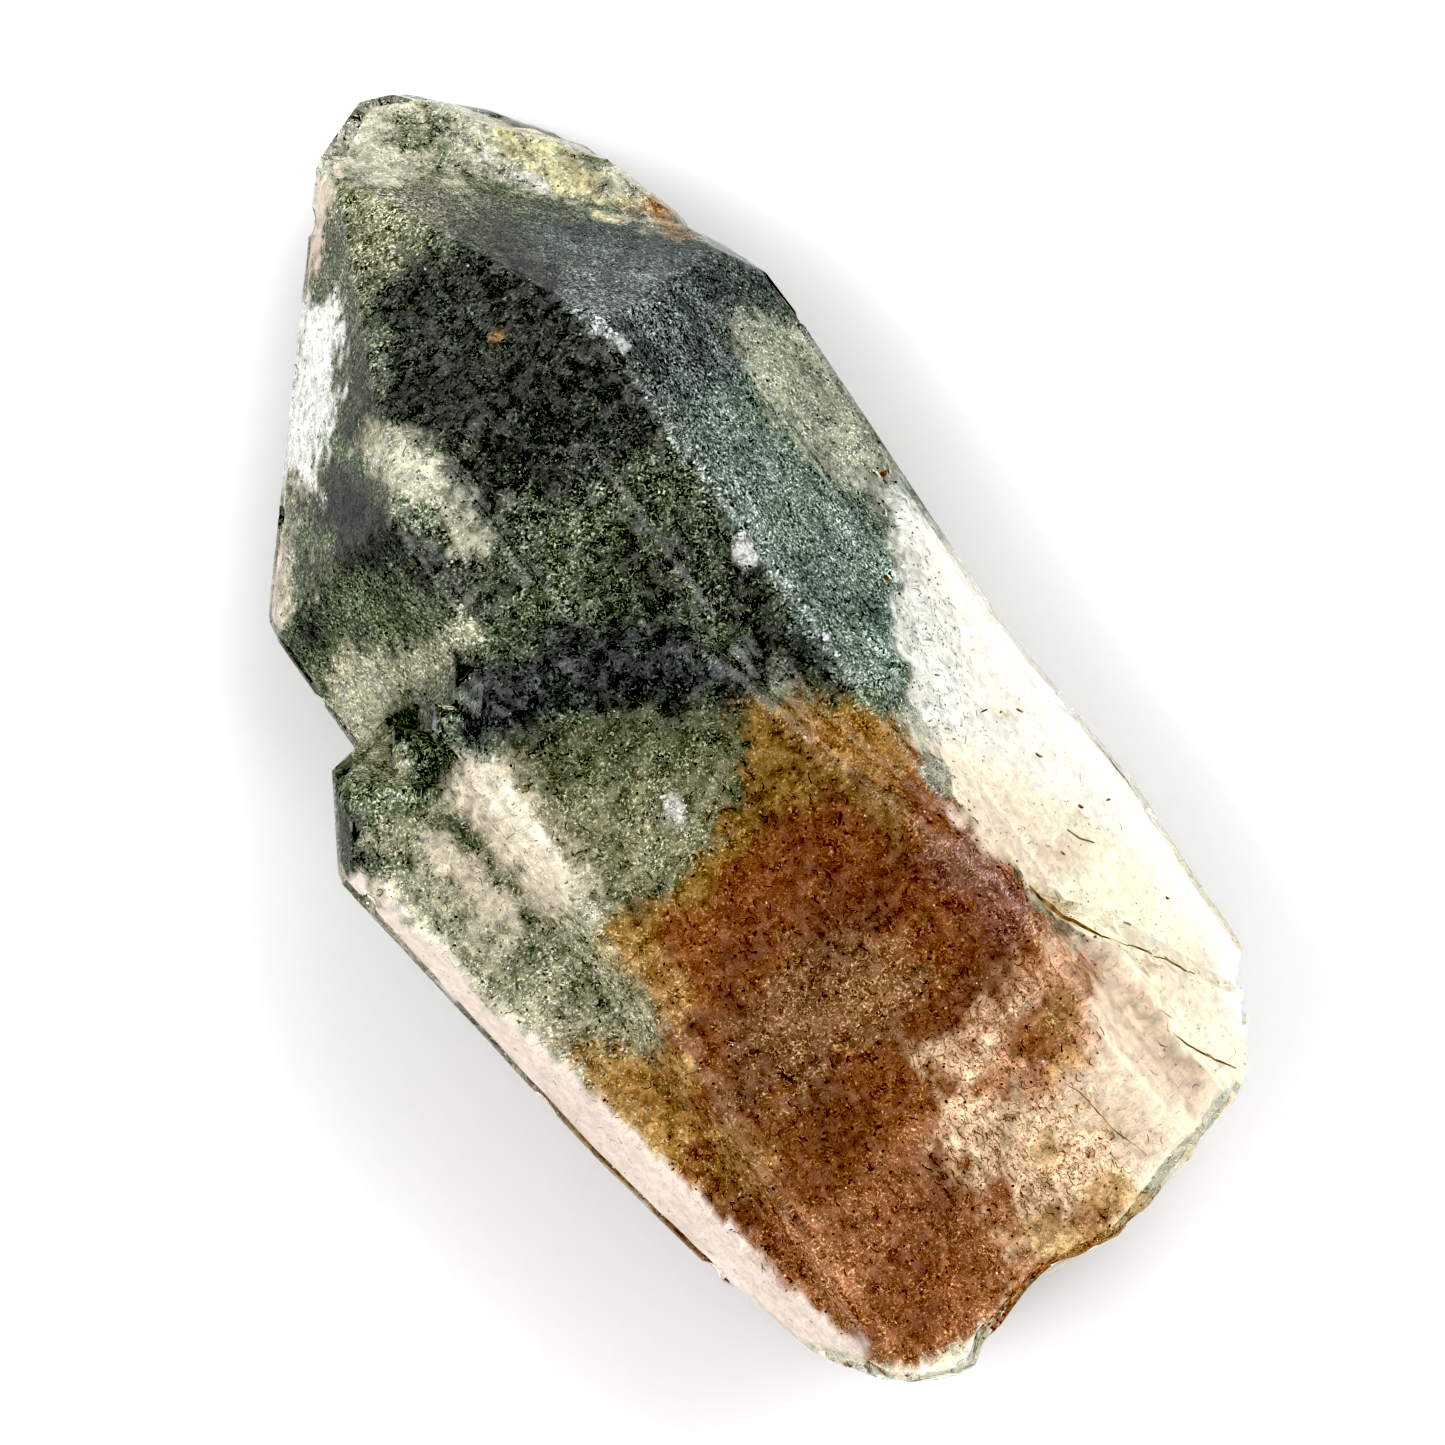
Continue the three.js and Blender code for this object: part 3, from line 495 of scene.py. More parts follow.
    Patch(Zone.DEEP_GREEN, (16, 3.6, 17, 4.4, 17.6, 3.6, 16.6, 2.2, 15.6, 1.6), 0.4, 0.7, 0.7, True),
    Patch(Zone.SPECKLED, (17, 4.6, 19.4, 4.8, 20, 0.6, 17.6, 0), 0.9, 1.2, 0.6),
    # Along the left edge and the broken foot
    Patch(Zone.BAND, (
        -18.7, 3.4, -17.8, -1.4, -16.9, -7.4, -15.7, -12.4, -14.6, -17.9, -13.8, -23.1, -12.8, -29.6,
        -11.2, -33.6, -14.5, -36, -22, -36, -22, 4,
    ), 0.35, 0.5),
    Patch(Zone.CREAM, (
        -14, -32.6, -12, -34.6, -9.8, -36.2, -8, -36.6, -6, -36.4, -4.6, -37.6, -9, -39.6, -14.8, -34.6,
    ), 0.5, 1.0),
    Patch(Zone.LIT_PEACH, (-14, -33.6, -11.4, -35.6, -8, -37, -5, -37.6, -9, -41, -16, -36), 0.4, 0.8, 0.7),
    Patch(Zone.LIT_PEACH, (
        4, -36.8, 8, -36.4, 12, -35.6, 14, -34.2, 17, -34, 14, -42, 4, -42,
    ), 0.5, 0.7, 0.85),
)


# Noise

# How the numbers of a cell and a seed are stirred into a chance value
SEED_STEP = 137.31
CELL_FACTORS = np.array([73856093, 19349663, 83492791])
SEED_FACTOR = 2654435761
STIRS = ((13, 1274126177), (16, 2246822519))
WORD = 0xFFFFFFFF
TOP_BITS = 24


def smooth_step(value: np.ndarray) -> np.ndarray:
    """Ease a value from 0 to 1."""
    t = np.clip(value, 0, 1)
    return t * t * (3 - 2 * t)


def lattice_noise(points: np.ndarray, size: float, seed: int) -> np.ndarray:
    """Smooth noise over space.

    Args:
        points: Points in mm, one row each.
        size: Width of the noise's cells, mm.
        seed: Which noise.

    Returns:
        One value for each point, -1 to 1.
    """
    at = points / size + SEED_STEP * (seed + 1)
    cell = np.floor(at).astype(np.int64)
    part = smooth_step(at - cell)
    total = np.zeros(len(points))
    for corner in np.ndindex(2, 2, 2):
        step = np.array(corner[::-1])
        key = ((cell + step) * CELL_FACTORS).sum(1) ^ (seed * SEED_FACTOR)
        for shift, factor in STIRS:
            key = (key ^ (key >> shift)) * factor & WORD
        total += np.where(step, part, 1 - part).prod(1) * ((key >> 32 - TOP_BITS) / 2**TOP_BITS)
    return total * 2 - 1


def layered(points: np.ndarray, layers: Layers) -> np.ndarray:
    """Add up layers of noise at points in mm."""
    return sum(strength * lattice_noise(points, size, seed) for strength, size, seed in layers)


def raised(points: np.ndarray, size: float, seed: int) -> np.ndarray:
    """Give smooth noise from 0 to 1 at points in mm."""
    return 0.5 + 0.5 * lattice_noise(points, size, seed)


# Where each mineral lies


@dataclass
class MineralMap:
    """Tells the mineral at any point, from the patches.

    Args:
        skin: The CAD solid's skin, ready to be searched.
        veil: How the quartz changes what is seen, and the painted light and shade that it puts in the tints.
        patches: The patches, each painted over those before it.
        front_level: Height in mm above which the patches of the front show.
        front_fade: Height over which they come up, mm.
        reach: How far noise moves a border at most, for each mm of its raggedness.
        fade: Width of a border, for each mm of its softness.
        border: The noise that moves the borders.
        drift: The noise that lets tints drift.
        drift_share: How far tints and cover drift with it.
        drift_limits: The least and the most that a tint is multiplied by.
        tilt_steps: Steps in mm over which the skin's tilt is evened out.
        off: How far off the skin a look down at the floor starts, mm.
    """

    skin: BVHTree
    veil: QuartzVeilAndPaintedLight = QuartzVeilAndPaintedLight()
    patches: tuple[Patch, ...] = PATCHES
    front_level: float = 9.0
    front_fade: float = 3.0
    reach: float = 1.4
    fade: float = 1.4
    border: Layers = ((0.6, 2.3, 1), (0.55, 0.9, 2), (0.5, 0.42, 3))
    drift: Layers = ((0.55, 2.7, 4), (0.5, 1.2, 5))
    drift_share: float = 0.5
    drift_limits: tuple[float, float] = (0.2, 2.0)
    tilt_steps: tuple[tuple[float, float, float], ...] = (
        (0.5, 0.3, 0), (-0.3, 0.5, 0), (-0.5, -0.3, 0), (0.3, -0.5, 0)
    )
    off: float = 0.02

    def above(self, points: np.ndarray) -> np.ndarray:
        """Find the skin's nearest point to each point, in mm, because the patches are drawn on the skin."""
        return np.array([self.skin.find_nearest(Vector(point))[0] for point in points * MM]) / MM

    def tilt(self, points: np.ndarray) -> np.ndarray:
        """Find how the skin lies around points, evened out over a small patch.

        Args:
            points: Points in mm.

        Returns:
            For each point how far the skin faces up, how far it mirrors the floor to an eye above it,
            and how far it faces the foot's end.
        """
        total = np.zeros((len(points), 3))
        for step in self.tilt_steps:
            for k, point in enumerate((points + np.array(step)) * MM):
                near, normal, _, _ = self.skin.find_nearest(Vector(point))
                bounce = 2 * normal.z * normal - UP
                start = near + normal * self.off * MM
                mirrors = bounce.z < 0 and self.skin.ray_cast(start, bounce)[0] is None
                total[k] += (normal.z, float(mirrors), max(0, -normal.y))
        return total / len(self.tilt_steps)

    def inside(self, patch: Patch, flat: np.ndarray) -> np.ndarray:
        """Measure how far points lie inside a patch's outline.

        Args:
            patch: The patch.
            flat: Points seen from the front, mm.

        Returns:
            The distance to the outline, positive inside it.
        """
        corners = patch.corners()
        nearest = np.full(len(flat), np.inf)
        within = np.zeros(len(flat), bool)
        for a, b in zip(corners, np.roll(corners, -1, axis=0)):
            along = b - a
            t = np.clip(((flat - a) @ along) / (along @ along), 0, 1)
            nearest = np.minimum(nearest, np.hypot(*(flat - a - t[:, None] * along).T))
            # No point lies between the heights of a level edge, so there any rise does
            spans = (a[1] > flat[:, 1]) != (b[1] > flat[:, 1])
            rise = along[1] or 1.0
            within ^= spans & (flat[:, 0] < along[0] * (flat[:, 1] - a[1]) / rise + a[0])
        return np.where(within, nearest, -nearest)

    def blend(self, points: np.ndarray, draw: np.random.Generator | None) -> np.ndarray:
        """Blend the patches at points.

        Args:
            points: Points on the skin, mm.
            draw: Where given, each point takes one zone by chance instead of a blend.

        Returns:
            One row for each point, laid out as Mineral.row(), with the light to be seen.
        """
        flat = points[:, :2] - DRAWING_SHIFT
        border = layered(points, self.border)
        rows = np.tile(Zone.GREEN_MOSS.value.row(), (len(points), 1))
        upper = smooth_step((points[:, 2] - self.front_level) / self.front_fade + 0.5)
        for patch in self.patches:
            corners = patch.corners()
            room = patch.soft + self.reach * patch.ragged
            near = np.all((flat > corners.min(0) - room) & (flat < corners.max(0) + room), axis=1)
            if not near.any():
                continue
            depth = self.inside(patch, flat[near]) + patch.ragged * border[near]
            share = patch.weight * smooth_step(depth / (self.fade * patch.soft) + 0.5)
            if patch.front:
                share *= upper[near]
            if draw is not None:
                share = (share > draw.random(len(share))).astype(float)
            rows[near] += share[:, None] * (patch.zone.value.row() - rows[near])
        return rows

    def depths(self, points: np.ndarray) -> np.ndarray:
        """Find how deep under the skin the mineral lies at points in mm."""
        return self.blend(self.above(points), None)[:, DEPTH]

    def rows(self, points: np.ndarray, draw: np.random.Generator | None = None) -> np.ndarray:
        """Find the mineral's values at points, with the minerals' colours, which hold painted light and
        shade.

        Args:
            points: Points in mm in the model's frame.
            draw: Where given, each point takes one zone by chance, as a grain does, instead of a blend.

        Returns:
            One row for each point, laid out as Mineral.row().
        """
        tilt = self.tilt(points)
        points = self.above(points)
        rows = self.blend(points, draw)
        drift = 1 + self.drift_share * rows[:, GRIT] * layered(points, self.drift)
        rows[:, COVER] *= drift
        drift = np.clip(drift, *self.drift_limits)[:, None]
        for tint in (GROUND, FLECK):
            # The tints get painted light and shade: paler on faces that less light falls on, darker where
            # the skin mirrors the floor
            rows[:, tint] = self.veil.under(rows[:, tint] * drift, tilt)
        return rows


# Meshes


def shape_object(name: str, shape: bmesh.types.BMesh) -> bpy.types.Object:
    """Make an object of a bmesh.

    Args:
        name: Name of the new object.
        shape: The bmesh, which is freed.

    Returns:
        The new object, linked to the scene.
    """
    mesh = bpy.data.meshes.new(name)
    shape.to_mesh(mesh)
    shape.free()
    return linked(name, mesh)


def linked(name: str, data: bpy.types.ID) -> bpy.types.Object:
    """Make an object of a mesh or a camera, and link it to the scene."""
    holder = bpy.data.objects.new(name, data)
    bpy.context.scene.collection.objects.link(holder)
    return holder


def merged_copy(mesh: bpy.types.Mesh) -> bmesh.types.BMesh:
    """Copy a mesh and merge its loose triangles."""
    shape = bmesh.new()
    shape.from_mesh(mesh)
    bmesh.ops.remove_doubles(shape, verts=shape.verts, dist=ONE_POINT)
    return shape


def search_tree(shape: bmesh.types.BMesh) -> BVHTree:
    """Make a bmesh ready to be searched, and free it."""
    tree = BVHTree.FromBMesh(shape)
    shape.free()
    return tree


def seen_from_above(tree: BVHTree, flat: np.ndarray) -> tuple[np.ndarray, np.ndarray]:
    """Find the skin over points that are drawn from the front.

    Args:
        tree: The skin.
        flat: The points in the model's frame, mm.

    Returns:
        The skin's points in mm and its normals there.
    """
    hits = [tree.ray_cast(Vector((x, y, ABOVE_ALL)) * MM, DOWN) for x, y in flat]
    return np.array([hit[0] for hit in hits]) / MM, np.array([hit[1] for hit in hits])


def points_of(mesh: bpy.types.Mesh, what: str = "co") -> np.ndarray:
    """Read the places or normals of a mesh's points, as one row each."""
    values = np.empty(len(mesh.vertices) * 3)
    mesh.vertices.foreach_get(what, values)
    return values.reshape(-1, 3)


def move_points(mesh: bpy.types.Mesh, places: np.ndarray) -> None:
    """Give a mesh's points new places."""
    mesh.vertices.foreach_set("co", places.ravel())
    mesh.update()


def remesh(piece: bpy.types.Object, cell: float) -> None:
    """Rebuild a piece's mesh from even cells.

    Args:
        piece: The piece.
        cell: Width of the cells, mm.
    """
    step = piece.modifiers.new("cells", "REMESH")
    step.mode = "VOXEL"
    step.voxel_size = cell * MM
    graph = bpy.context.evaluated_depsgraph_get()
    mesh = bpy.data.meshes.new_from_object(piece.evaluated_get(graph))
    piece.modifiers.clear()
    piece.data = mesh


def write_colour(
    mesh: bpy.types.Mesh, name: str, colours: np.ndarray, alpha: np.ndarray | float = 1.0
) -> None:
    """Store a colour at each point of a mesh.

    Args:
        mesh: The mesh.
        name: Name of the attribute.
        colours: One linear colour for each point.
        alpha: A fourth value for each point.
    """
    values = np.ones((len(colours), 4))
    values[:, :3] = colours
    values[:, 3] = alpha
    mesh.color_attributes.new(name, "FLOAT_COLOR", "POINT").data.foreach_set("color", values.ravel())


def finish_piece(piece: bpy.types.Object, finish: bpy.types.Material) -> None:
    """Give a piece its material, tie it to the crystal's body, and report it."""
    piece.data.materials.append(finish)
    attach(piece, BODY)
    triangles = sum(len(face.vertices) - 2 for face in piece.data.polygons)
    LOG.info("%s: %d triangles", piece.name, triangles)


# Shaders

# The numbers of a Mix node's colour sockets, of which several have the same name
MIX_FIRST, MIX_SECOND, MIX_RESULT = 6, 7, 2


class Signal:
    """A socket's value, on which Python's operators add Math nodes."""

    def __init__(self, shader: "Shader", socket: bpy.types.NodeSocket) -> None:
        """Wrap a socket of a shader."""
        self.shader = shader
        self.socket = socket

    def other(self, name: str) -> "Signal":
        """Give another output of the same node."""
        return Signal(self.shader, self.socket.node.outputs[name])

    def _with(self, operation: str, first: "Signal | float", second: "Signal | float") -> "Signal":
        """Add a Math node of two values."""
        return self.shader.add("ShaderNodeMath", {"operation": operation}, {0: first, 1: second})

    def __add__(self, other: "Signal | float") -> "Signal":
        """Add."""
        return self._with("ADD", self, other)

    def __sub__(self, other: "Signal | float") -> "Signal":
        """Take away."""
        return self._with("SUBTRACT", self, other)

    def __rsub__(self, other: float) -> "Signal":
        """Take this away from a number."""
        return self._with("SUBTRACT", other, self)

    def __mul__(self, other: "Signal | float") -> "Signal":
        """Multiply."""
        return self._with("MULTIPLY", self, other)

    def __truediv__(self, other: "Signal | float") -> "Signal":
        """Divide."""
        return self._with("DIVIDE", self, other)

    def __abs__(self) -> "Signal":
        """Drop the sign."""
        return self._with("ABSOLUTE", self, 0.0)

    def clamp(self) -> "Signal":
        """Keep the value between 0 and 1."""
        return self.shader.add("ShaderNodeMath", {"operation": "ADD", "use_clamp": True}, {0: self, 1: 0.0})

    __radd__ = __add__
    __rmul__ = __mul__


class Shader:
    """The nodes of a material or of the world."""

    def __init__(self, owner: bpy.types.Material | bpy.types.World) -> None:
        """Start on a material's or world's own nodes."""
        owner.use_nodes = True
        self.owner = owner
        self.tree = owner.node_tree

    def add(self, kind: str, settings: dict | None, sockets: dict, out: str | int = 0) -> Signal:
        """Add a node.

        Args:
            kind: Type of the node.
            settings: Its settings, set before its sockets.
            sockets: Values or signals for its inputs, by name or number.
            out: The output that is wanted.

        Returns:
            That output.
        """
        node = self.tree.nodes.new(kind)
        for name, value in (settings or {}).items():
            setattr(node, name, value)
        self.feed(node, sockets)
        return Signal(self, node.outputs[out])

    def feed(self, node: bpy.types.Node, sockets: dict) -> None:
        """Set or link a node's inputs.

        Args:
            node: The node.
            sockets: Values or signals, by the inputs' names or numbers.
        """
        for name, value in sockets.items():
            if isinstance(value, Signal):
                self.tree.links.new(value.socket, node.inputs[name])
            else:
                node.inputs[name].default_value = value

    def surface(self, sockets: dict) -> bpy.types.Material:
        """Feed the material's surface, and give the material."""
        self.feed(self.tree.nodes["Principled BSDF"], sockets)
        return self.owner

    def place(self, kind: str = "Object") -> Signal:
        """Read the coordinates, of the object unless another kind is named."""
        return self.add("ShaderNodeTexCoord", None, {}, kind)

    def noise(
        self,
        scale: float,
        detail: float,
        twist: float = 0.0,
        stretch: tuple[float, float, float] | None = None,
    ) -> Signal:
        """Add noise on the object's coordinates.

        Args:
            scale: Cells for each metre.
            detail: Finer layers.
            twist: How far it is distorted.
            stretch: Factors on the coordinates, under 1 where the noise is drawn out.

        Returns:
            The noise, 0 to 1.
        """
        place = self.place()
        if stretch:
            place = self.add("ShaderNodeVectorMath", {"operation": "MULTIPLY"}, {0: place, 1: stretch})
        sockets = {"Vector": place, "Scale": scale, "Detail": detail, "Distortion": twist}
        return self.add("ShaderNodeTexNoise", None, sockets)

    def bump(self, height: Signal, strength: float, distance: float) -> Signal:
        """Turn a height into a normal.

        Args:
            height: The height, 0 to 1.
            strength: How much of it shows.
            distance: What a height of 1 measures, m.

        Returns:
            The normal.
        """
        sockets = {"Strength": strength, "Distance": distance, "Height": height}
        return self.add("ShaderNodeBump", None, sockets)

    def mix(self, share: Signal, first: object, second: object) -> Signal:
        """Mix two colours, of which the share tells how much of the second shows."""
        sockets = {0: share, MIX_FIRST: first, MIX_SECOND: second}
        return self.add("ShaderNodeMix", {"data_type": "RGBA"}, sockets, MIX_RESULT)

    def scaled(self, colour: Signal, factor: Signal) -> Signal:
        """Brighten or darken a colour by a signal."""
        return self.add("ShaderNodeVectorMath", {"operation": "SCALE"}, {0: colour, "Scale": factor})

    def attribute(self, name: str) -> Signal:
        """Read a piece's own colour attribute."""
        return self.add("ShaderNodeAttribute", {"attribute_name": name}, {})


@dataclass(frozen=True)
class ClearQuartz:
    """The finish of the quartz skin: clear, glossy, with faint growth lines across the long axis.

    Args:
        roughness: How dull its gloss is.
        growth_lines: How strongly the lines and pores show.
        relief: Their height, m.
        lines: The lines' cells for each metre and finer layers.
        drawn_out: Factors that draw the lines out across the axis.
        pores: The pores' cells for each metre and finer layers.
        tint: Tint of what it mirrors.
    """

    roughness: float = 0.03
    growth_lines: float = 0.12
    relief: float = 0.0002
    lines: tuple[float, float] = (1600.0, 3.0)
    drawn_out: tuple[float, float, float] = (0.12, 1.0, 0.12)
    pores: tuple[float, float] = (900.0, 4.0)
    tint: tuple[float, float, float, float] = (0.3, 0.3, 0.3, 1.0)

    def material(self) -> bpy.types.Material:
        """Make the material."""
        shader = Shader(bpy.data.materials.new("clear_quartz"))
        height = shader.noise(*self.lines, stretch=self.drawn_out) * 0.5 + shader.noise(*self.pores) * 0.5
        return shader.surface({
            "Base Color": (1.0, 1.0, 1.0, 1.0),
            "Transmission Weight": 1.0,
            "IOR": QUARTZ_IOR,
            "Roughness": self.roughness,
            "Specular Tint": self.tint,
            "Normal": shader.bump(height, self.growth_lines, self.relief),
        })


@dataclass(frozen=True)
class MossFinish:
    """The finish of the mineral mass: dark ground, streaked or blotchy, under a felt of fine pale threads.

    Args:
        felt: The felt's cells for each metre, finer layers and twist.
        thickness: Width of its threads where they cover the ground wholly.
        edge: Width over which a thread fades out.
        blotches: The blotches' cells for each metre, finer layers and twist.
        streaks: The streaks' cells for each metre and finer layers.
        drawn_out: Factors that draw the streaks out along the axis.
        patchy: Contrast and drop of the blotches and streaks.
        speckles: The speckles' cells for each metre and finer layers.
        specked: Contrast and drop of the speckles.
        relief: Strength of the threads' bump and its height, m.
    """

    felt: tuple[float, float, float] = (3500.0, 3.0, 1.2)
    thickness: float = 0.09
    edge: float = 0.03
    blotches: tuple[float, float, float] = (1500.0, 4.0, 0.4)
    streaks: tuple[float, float] = (2600.0, 3.0)
    drawn_out: tuple[float, float, float] = (1.0, 0.22, 1.0)
    patchy: tuple[float, float] = (1.9, 0.45)
    speckles: tuple[float, float] = (5200.0, 3.0)
    specked: tuple[float, float] = (2.4, 0.7)
    relief: tuple[float, float] = (0.6, 0.0001)

    def mottled(self, colour: Signal, noise: Signal, look: tuple[float, float], grit: Signal) -> Signal:
        """Brighten and darken a colour by a noise, up to double and down to black.

        Args:
            colour: The colour.
            noise: The noise.
            look: The noise's contrast and drop.
            grit: How strongly it shows.

        Returns:
            The mottled colour.
        """
        contrast, drop = look
        return colour.shader.scaled(colour, ((noise * contrast - drop).clamp() * 2.0 - 1.0) * grit + 1.0)

    def material(self) -> bpy.types.Material:
        """Make the material."""
        shader = Shader(bpy.data.materials.new("mineral_moss"))
        ground = shader.attribute("Ground")
        fleck = shader.attribute("Fleck")
        grit = ground.other("Alpha")
        middle = abs(shader.noise(*self.felt) - 0.5)
        threads = ((fleck.other("Alpha") * grit * self.thickness - middle) / self.edge + 0.5).clamp()
        blotches = shader.noise(*self.blotches)
        streaks = shader.noise(*self.streaks, stretch=self.drawn_out)
        uneven = blotches + shader.attribute("Lie").other("Alpha") * (streaks - blotches)
        dark = self.mottled(ground, uneven, self.patchy, grit)
        light = self.mottled(fleck, shader.noise(*self.speckles), self.specked, grit)
        return shader.surface({
            "Base Color": shader.mix(threads, dark, light),
            "Roughness": 0.85,
            "IOR": QUARTZ_IOR,
            "Specular IOR Level": 0.1,
            "Normal": shader.bump(threads, *self.relief),
        })


@dataclass(frozen=True)
class GrainFinish:
    """The finish of the threads and grains: each in its own tint, a little uneven.

    Args:
        roughness: How dull they are.
        gloss: How much they shine.
        shade: Cells of the unevenness for each metre and finer layers.
        uneven: How far it changes the tint, and how dark the tint is where it is darkest.
    """

    roughness: float = 0.6
    gloss: float = 0.15
    shade: tuple[float, float] = (9000.0, 1.0)
    uneven: tuple[float, float] = (0.8, 0.6)

    def material(self) -> bpy.types.Material:
        """Make the material."""
        shader = Shader(bpy.data.materials.new("mineral_grain"))
        change, least = self.uneven
        tint = shader.scaled(shader.attribute("Tint"), shader.noise(*self.shade) * change + least)
        return shader.surface({
            "Base Color": tint,
            "Roughness": self.roughness,
            "Specular IOR Level": self.gloss,
        })


@dataclass(frozen=True)
class CrackFinish:
    """The finish of the stained cracks: dark brown and dull, paler in places.

    Args:
        tint: The linear colour.
        pale: The colour of the paler places.
        stain: The places' cells for each metre and finer layers.
        patchy: Their contrast and drop.
        roughness: How dull the cracks are.
    """

    tint: tuple[float, float, float, float] = (0.09, 0.05, 0.02, 1.0)
    pale: tuple[float, float, float, float] = (0.4, 0.25, 0.1, 1.0)
    stain: tuple[float, float] = (1300.0, 4.0)
    patchy: tuple[float, float] = (4.0, 1.6)
    roughness: float = 0.9

    def material(self) -> bpy.types.Material:
        """Make the material."""
        shader = Shader(bpy.data.materials.new("stained_crack"))
        contrast, drop = self.patchy
        stain = (shader.noise(*self.stain) * contrast - drop).clamp()
        colour = shader.mix(stain, self.tint, self.pale)
        return shader.surface({"Base Color": colour, "Roughness": self.roughness})


# The quartz and the mineral mass


@dataclass
class QuartzSkin:
    """The outside of the cluster, cut into small even cells and given a faint natural relief.

    Args:
        cell: Distance between cuts, mm.
        flat: Faces that turn less than this are one before they are cut, radians.
        crease: Edges sharper than this angle stay sharp, degrees.
        swell: Depth, width and seed of the broad unevenness of the faces, mm.
        ripple: The same of the growth steps across the long axis.
        along_steps: How little the steps change along and into a face, as factors.
        shatter: The same as the swell of the ripples on the broken foot.
        along_foot: Factors that draw these ripples out.
        foot: The broken foot begins below this y, mm.
        foot_fade: Distance over which its ripples come up, mm.
        resting: Height under which the resting face stays as it is, mm.
    """

    cell: float = 0.8
    flat: float = 0.01
    crease: float = 24.0
    swell: tuple[float, float, int] = (0.09, 4.2, 11)
    ripple: tuple[float, float, int] = (0.035, 0.9, 12)
    along_steps: tuple[float, float, float] = (0.15, 1, 0.15)
    shatter: tuple[float, float, int] = (0.22, 1.6, 13)
    along_foot: tuple[float, float, float] = (1, 0.4, 1)
    foot: float = -32.0
    foot_fade: float = 2.0
    resting: float = 0.5

    def cut(self, shape: bmesh.types.BMesh) -> None:
        """Cut the shape into even cells along the three axes."""
        bmesh.ops.dissolve_limit(
            shape,
            angle_limit=self.flat,
            verts=shape.verts,
            edges=shape.edges,
            use_dissolve_boundaries=False,
            delimit=set(),
        )
        for axis in range(3):
            across = Vector((0, 0, 0))
            across[axis] = 1
            places = [v.co[axis] for v in shape.verts]
            count = int((max(places) - min(places)) / (self.cell * MM))
            for k in range(1, count + 1):
                middle = Vector((0, 0, 0))
                middle[axis] = min(places) + k * self.cell * MM
                geometry = shape.verts[:] + shape.edges[:] + shape.faces[:]
                bmesh.ops.bisect_plane(
                    shape, geom=geometry, plane_co=middle, plane_no=across, dist=ON_THE_CUT
                )
        bmesh.ops.triangulate(shape, faces=shape.faces)

    def relief(self, places: np.ndarray, layer: tuple[float, float, int]) -> np.ndarray:
        """Find how deep one layer of the relief is at places in mm."""
        depth, size, seed = layer
        return depth * raised(places, size, seed)

    def wear(self, mesh: bpy.types.Mesh) -> None:
        """Sink the points of the skin by small amounts, never outwards."""
        places = points_of(mesh) / MM
        sink = self.relief(places, self.swell)
        sink += self.relief(places * np.array(self.along_steps), self.ripple)
        broken = smooth_step((self.foot - places[:, 1]) / self.foot_fade)
        sink += broken * self.relief(places * np.array(self.along_foot), self.shatter)
        sink *= smooth_step(places[:, 2] / self.resting)
        move_points(mesh, (places - points_of(mesh, "normal") * sink[:, None]) * MM)

    def build(self, source: bpy.types.Object) -> bpy.types.Object:
        """Build the skin.

        Args:
            source: The CAD solid's object.

        Returns:
            The skin.
        """
        shape = merged_copy(source.data)
        self.cut(shape)
        skin = shape_object("quartz_skin", shape)
        self.wear(skin.data)
        skin.data.shade_smooth()
        skin.data.set_sharp_from_angle(angle=math.radians(self.crease))
        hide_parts(NODE)
        finish_piece(skin, ClearQuartz().material())
        return skin


@dataclass
class MineralMass:
    """The mineral under the skin, close to it where the crystal is cloudy and deeper where it is clear.

    Args:
        map: Tells which mineral lies where.
        cell: Width of the mesh's cells, mm.
        rounds: Steps in which the mass sinks.
        step: Longest step, mm.
        near_enough: How far from its depth a point may stay, mm.
        touching: Nearer to the skin than this, a point has no way inwards, mm.
        lumps: Height, width and seed of its lumps, mm.
        lift: Least height above the resting face, mm.
    """

    map: MineralMap
    cell: float = 0.42
    rounds: int = 10
    step: float = 0.45
    near_enough: float = 0.02
    touching: float = 0.0001
    lumps: tuple[float, float, int] = (0.16, 0.9, 21)
    lift: float = 0.3

    def sink(self, piece: bpy.types.Object) -> None:
        """Move the mass inwards until each point lies as deep as its mineral does."""
        places = points_of(piece.data)
        height, size, seed = self.lumps
        wanted = self.map.depths(places / MM) + height * raised(places / MM, size, seed)
        places -= points_of(piece.data, "normal") * (np.minimum(wanted, self.step) * MM)[:, None]
        active = np.flatnonzero(wanted > self.step)
        for _ in range(self.rounds):
            left = []
            for k in active:
                near, _normal, _index, gap = self.map.skin.find_nearest(Vector(places[k]))
                short = wanted[k] * MM - gap
                if short > self.near_enough * MM and gap > self.touching * MM:
                    places[k] += (places[k] - np.array(near)) / gap * min(short, self.step * MM)
                    left.append(k)
            active = left
        places[:, 2] = np.maximum(places[:, 2], self.lift * MM)
        move_points(piece.data, places)

    def build(self, source: bpy.types.Object) -> bpy.types.Object:
        """Build the mass.

        Args:
            source: The CAD solid's object.

        Returns:
            The mass.
        """
        mass = shape_object("mineral_mass", merged_copy(source.data))
        remesh(mass, self.cell)
        self.sink(mass)
        remesh(mass, self.cell)
        rows = self.map.rows(points_of(mass.data) / MM)
        write_colour(mass.data, "Ground", rows[:, GROUND], rows[:, GRIT])
        write_colour(mass.data, "Fleck", rows[:, FLECK], rows[:, COVER])
        write_colour(mass.data, "Lie", rows[:, GROUND], rows[:, LIE])
        mass.data.shade_smooth()
        finish_piece(mass, MossFinish().material())
        return mass


# Threads and grains

# The points and the triangles of a small shape
SmallShape = tuple[np.ndarray, np.ndarray]


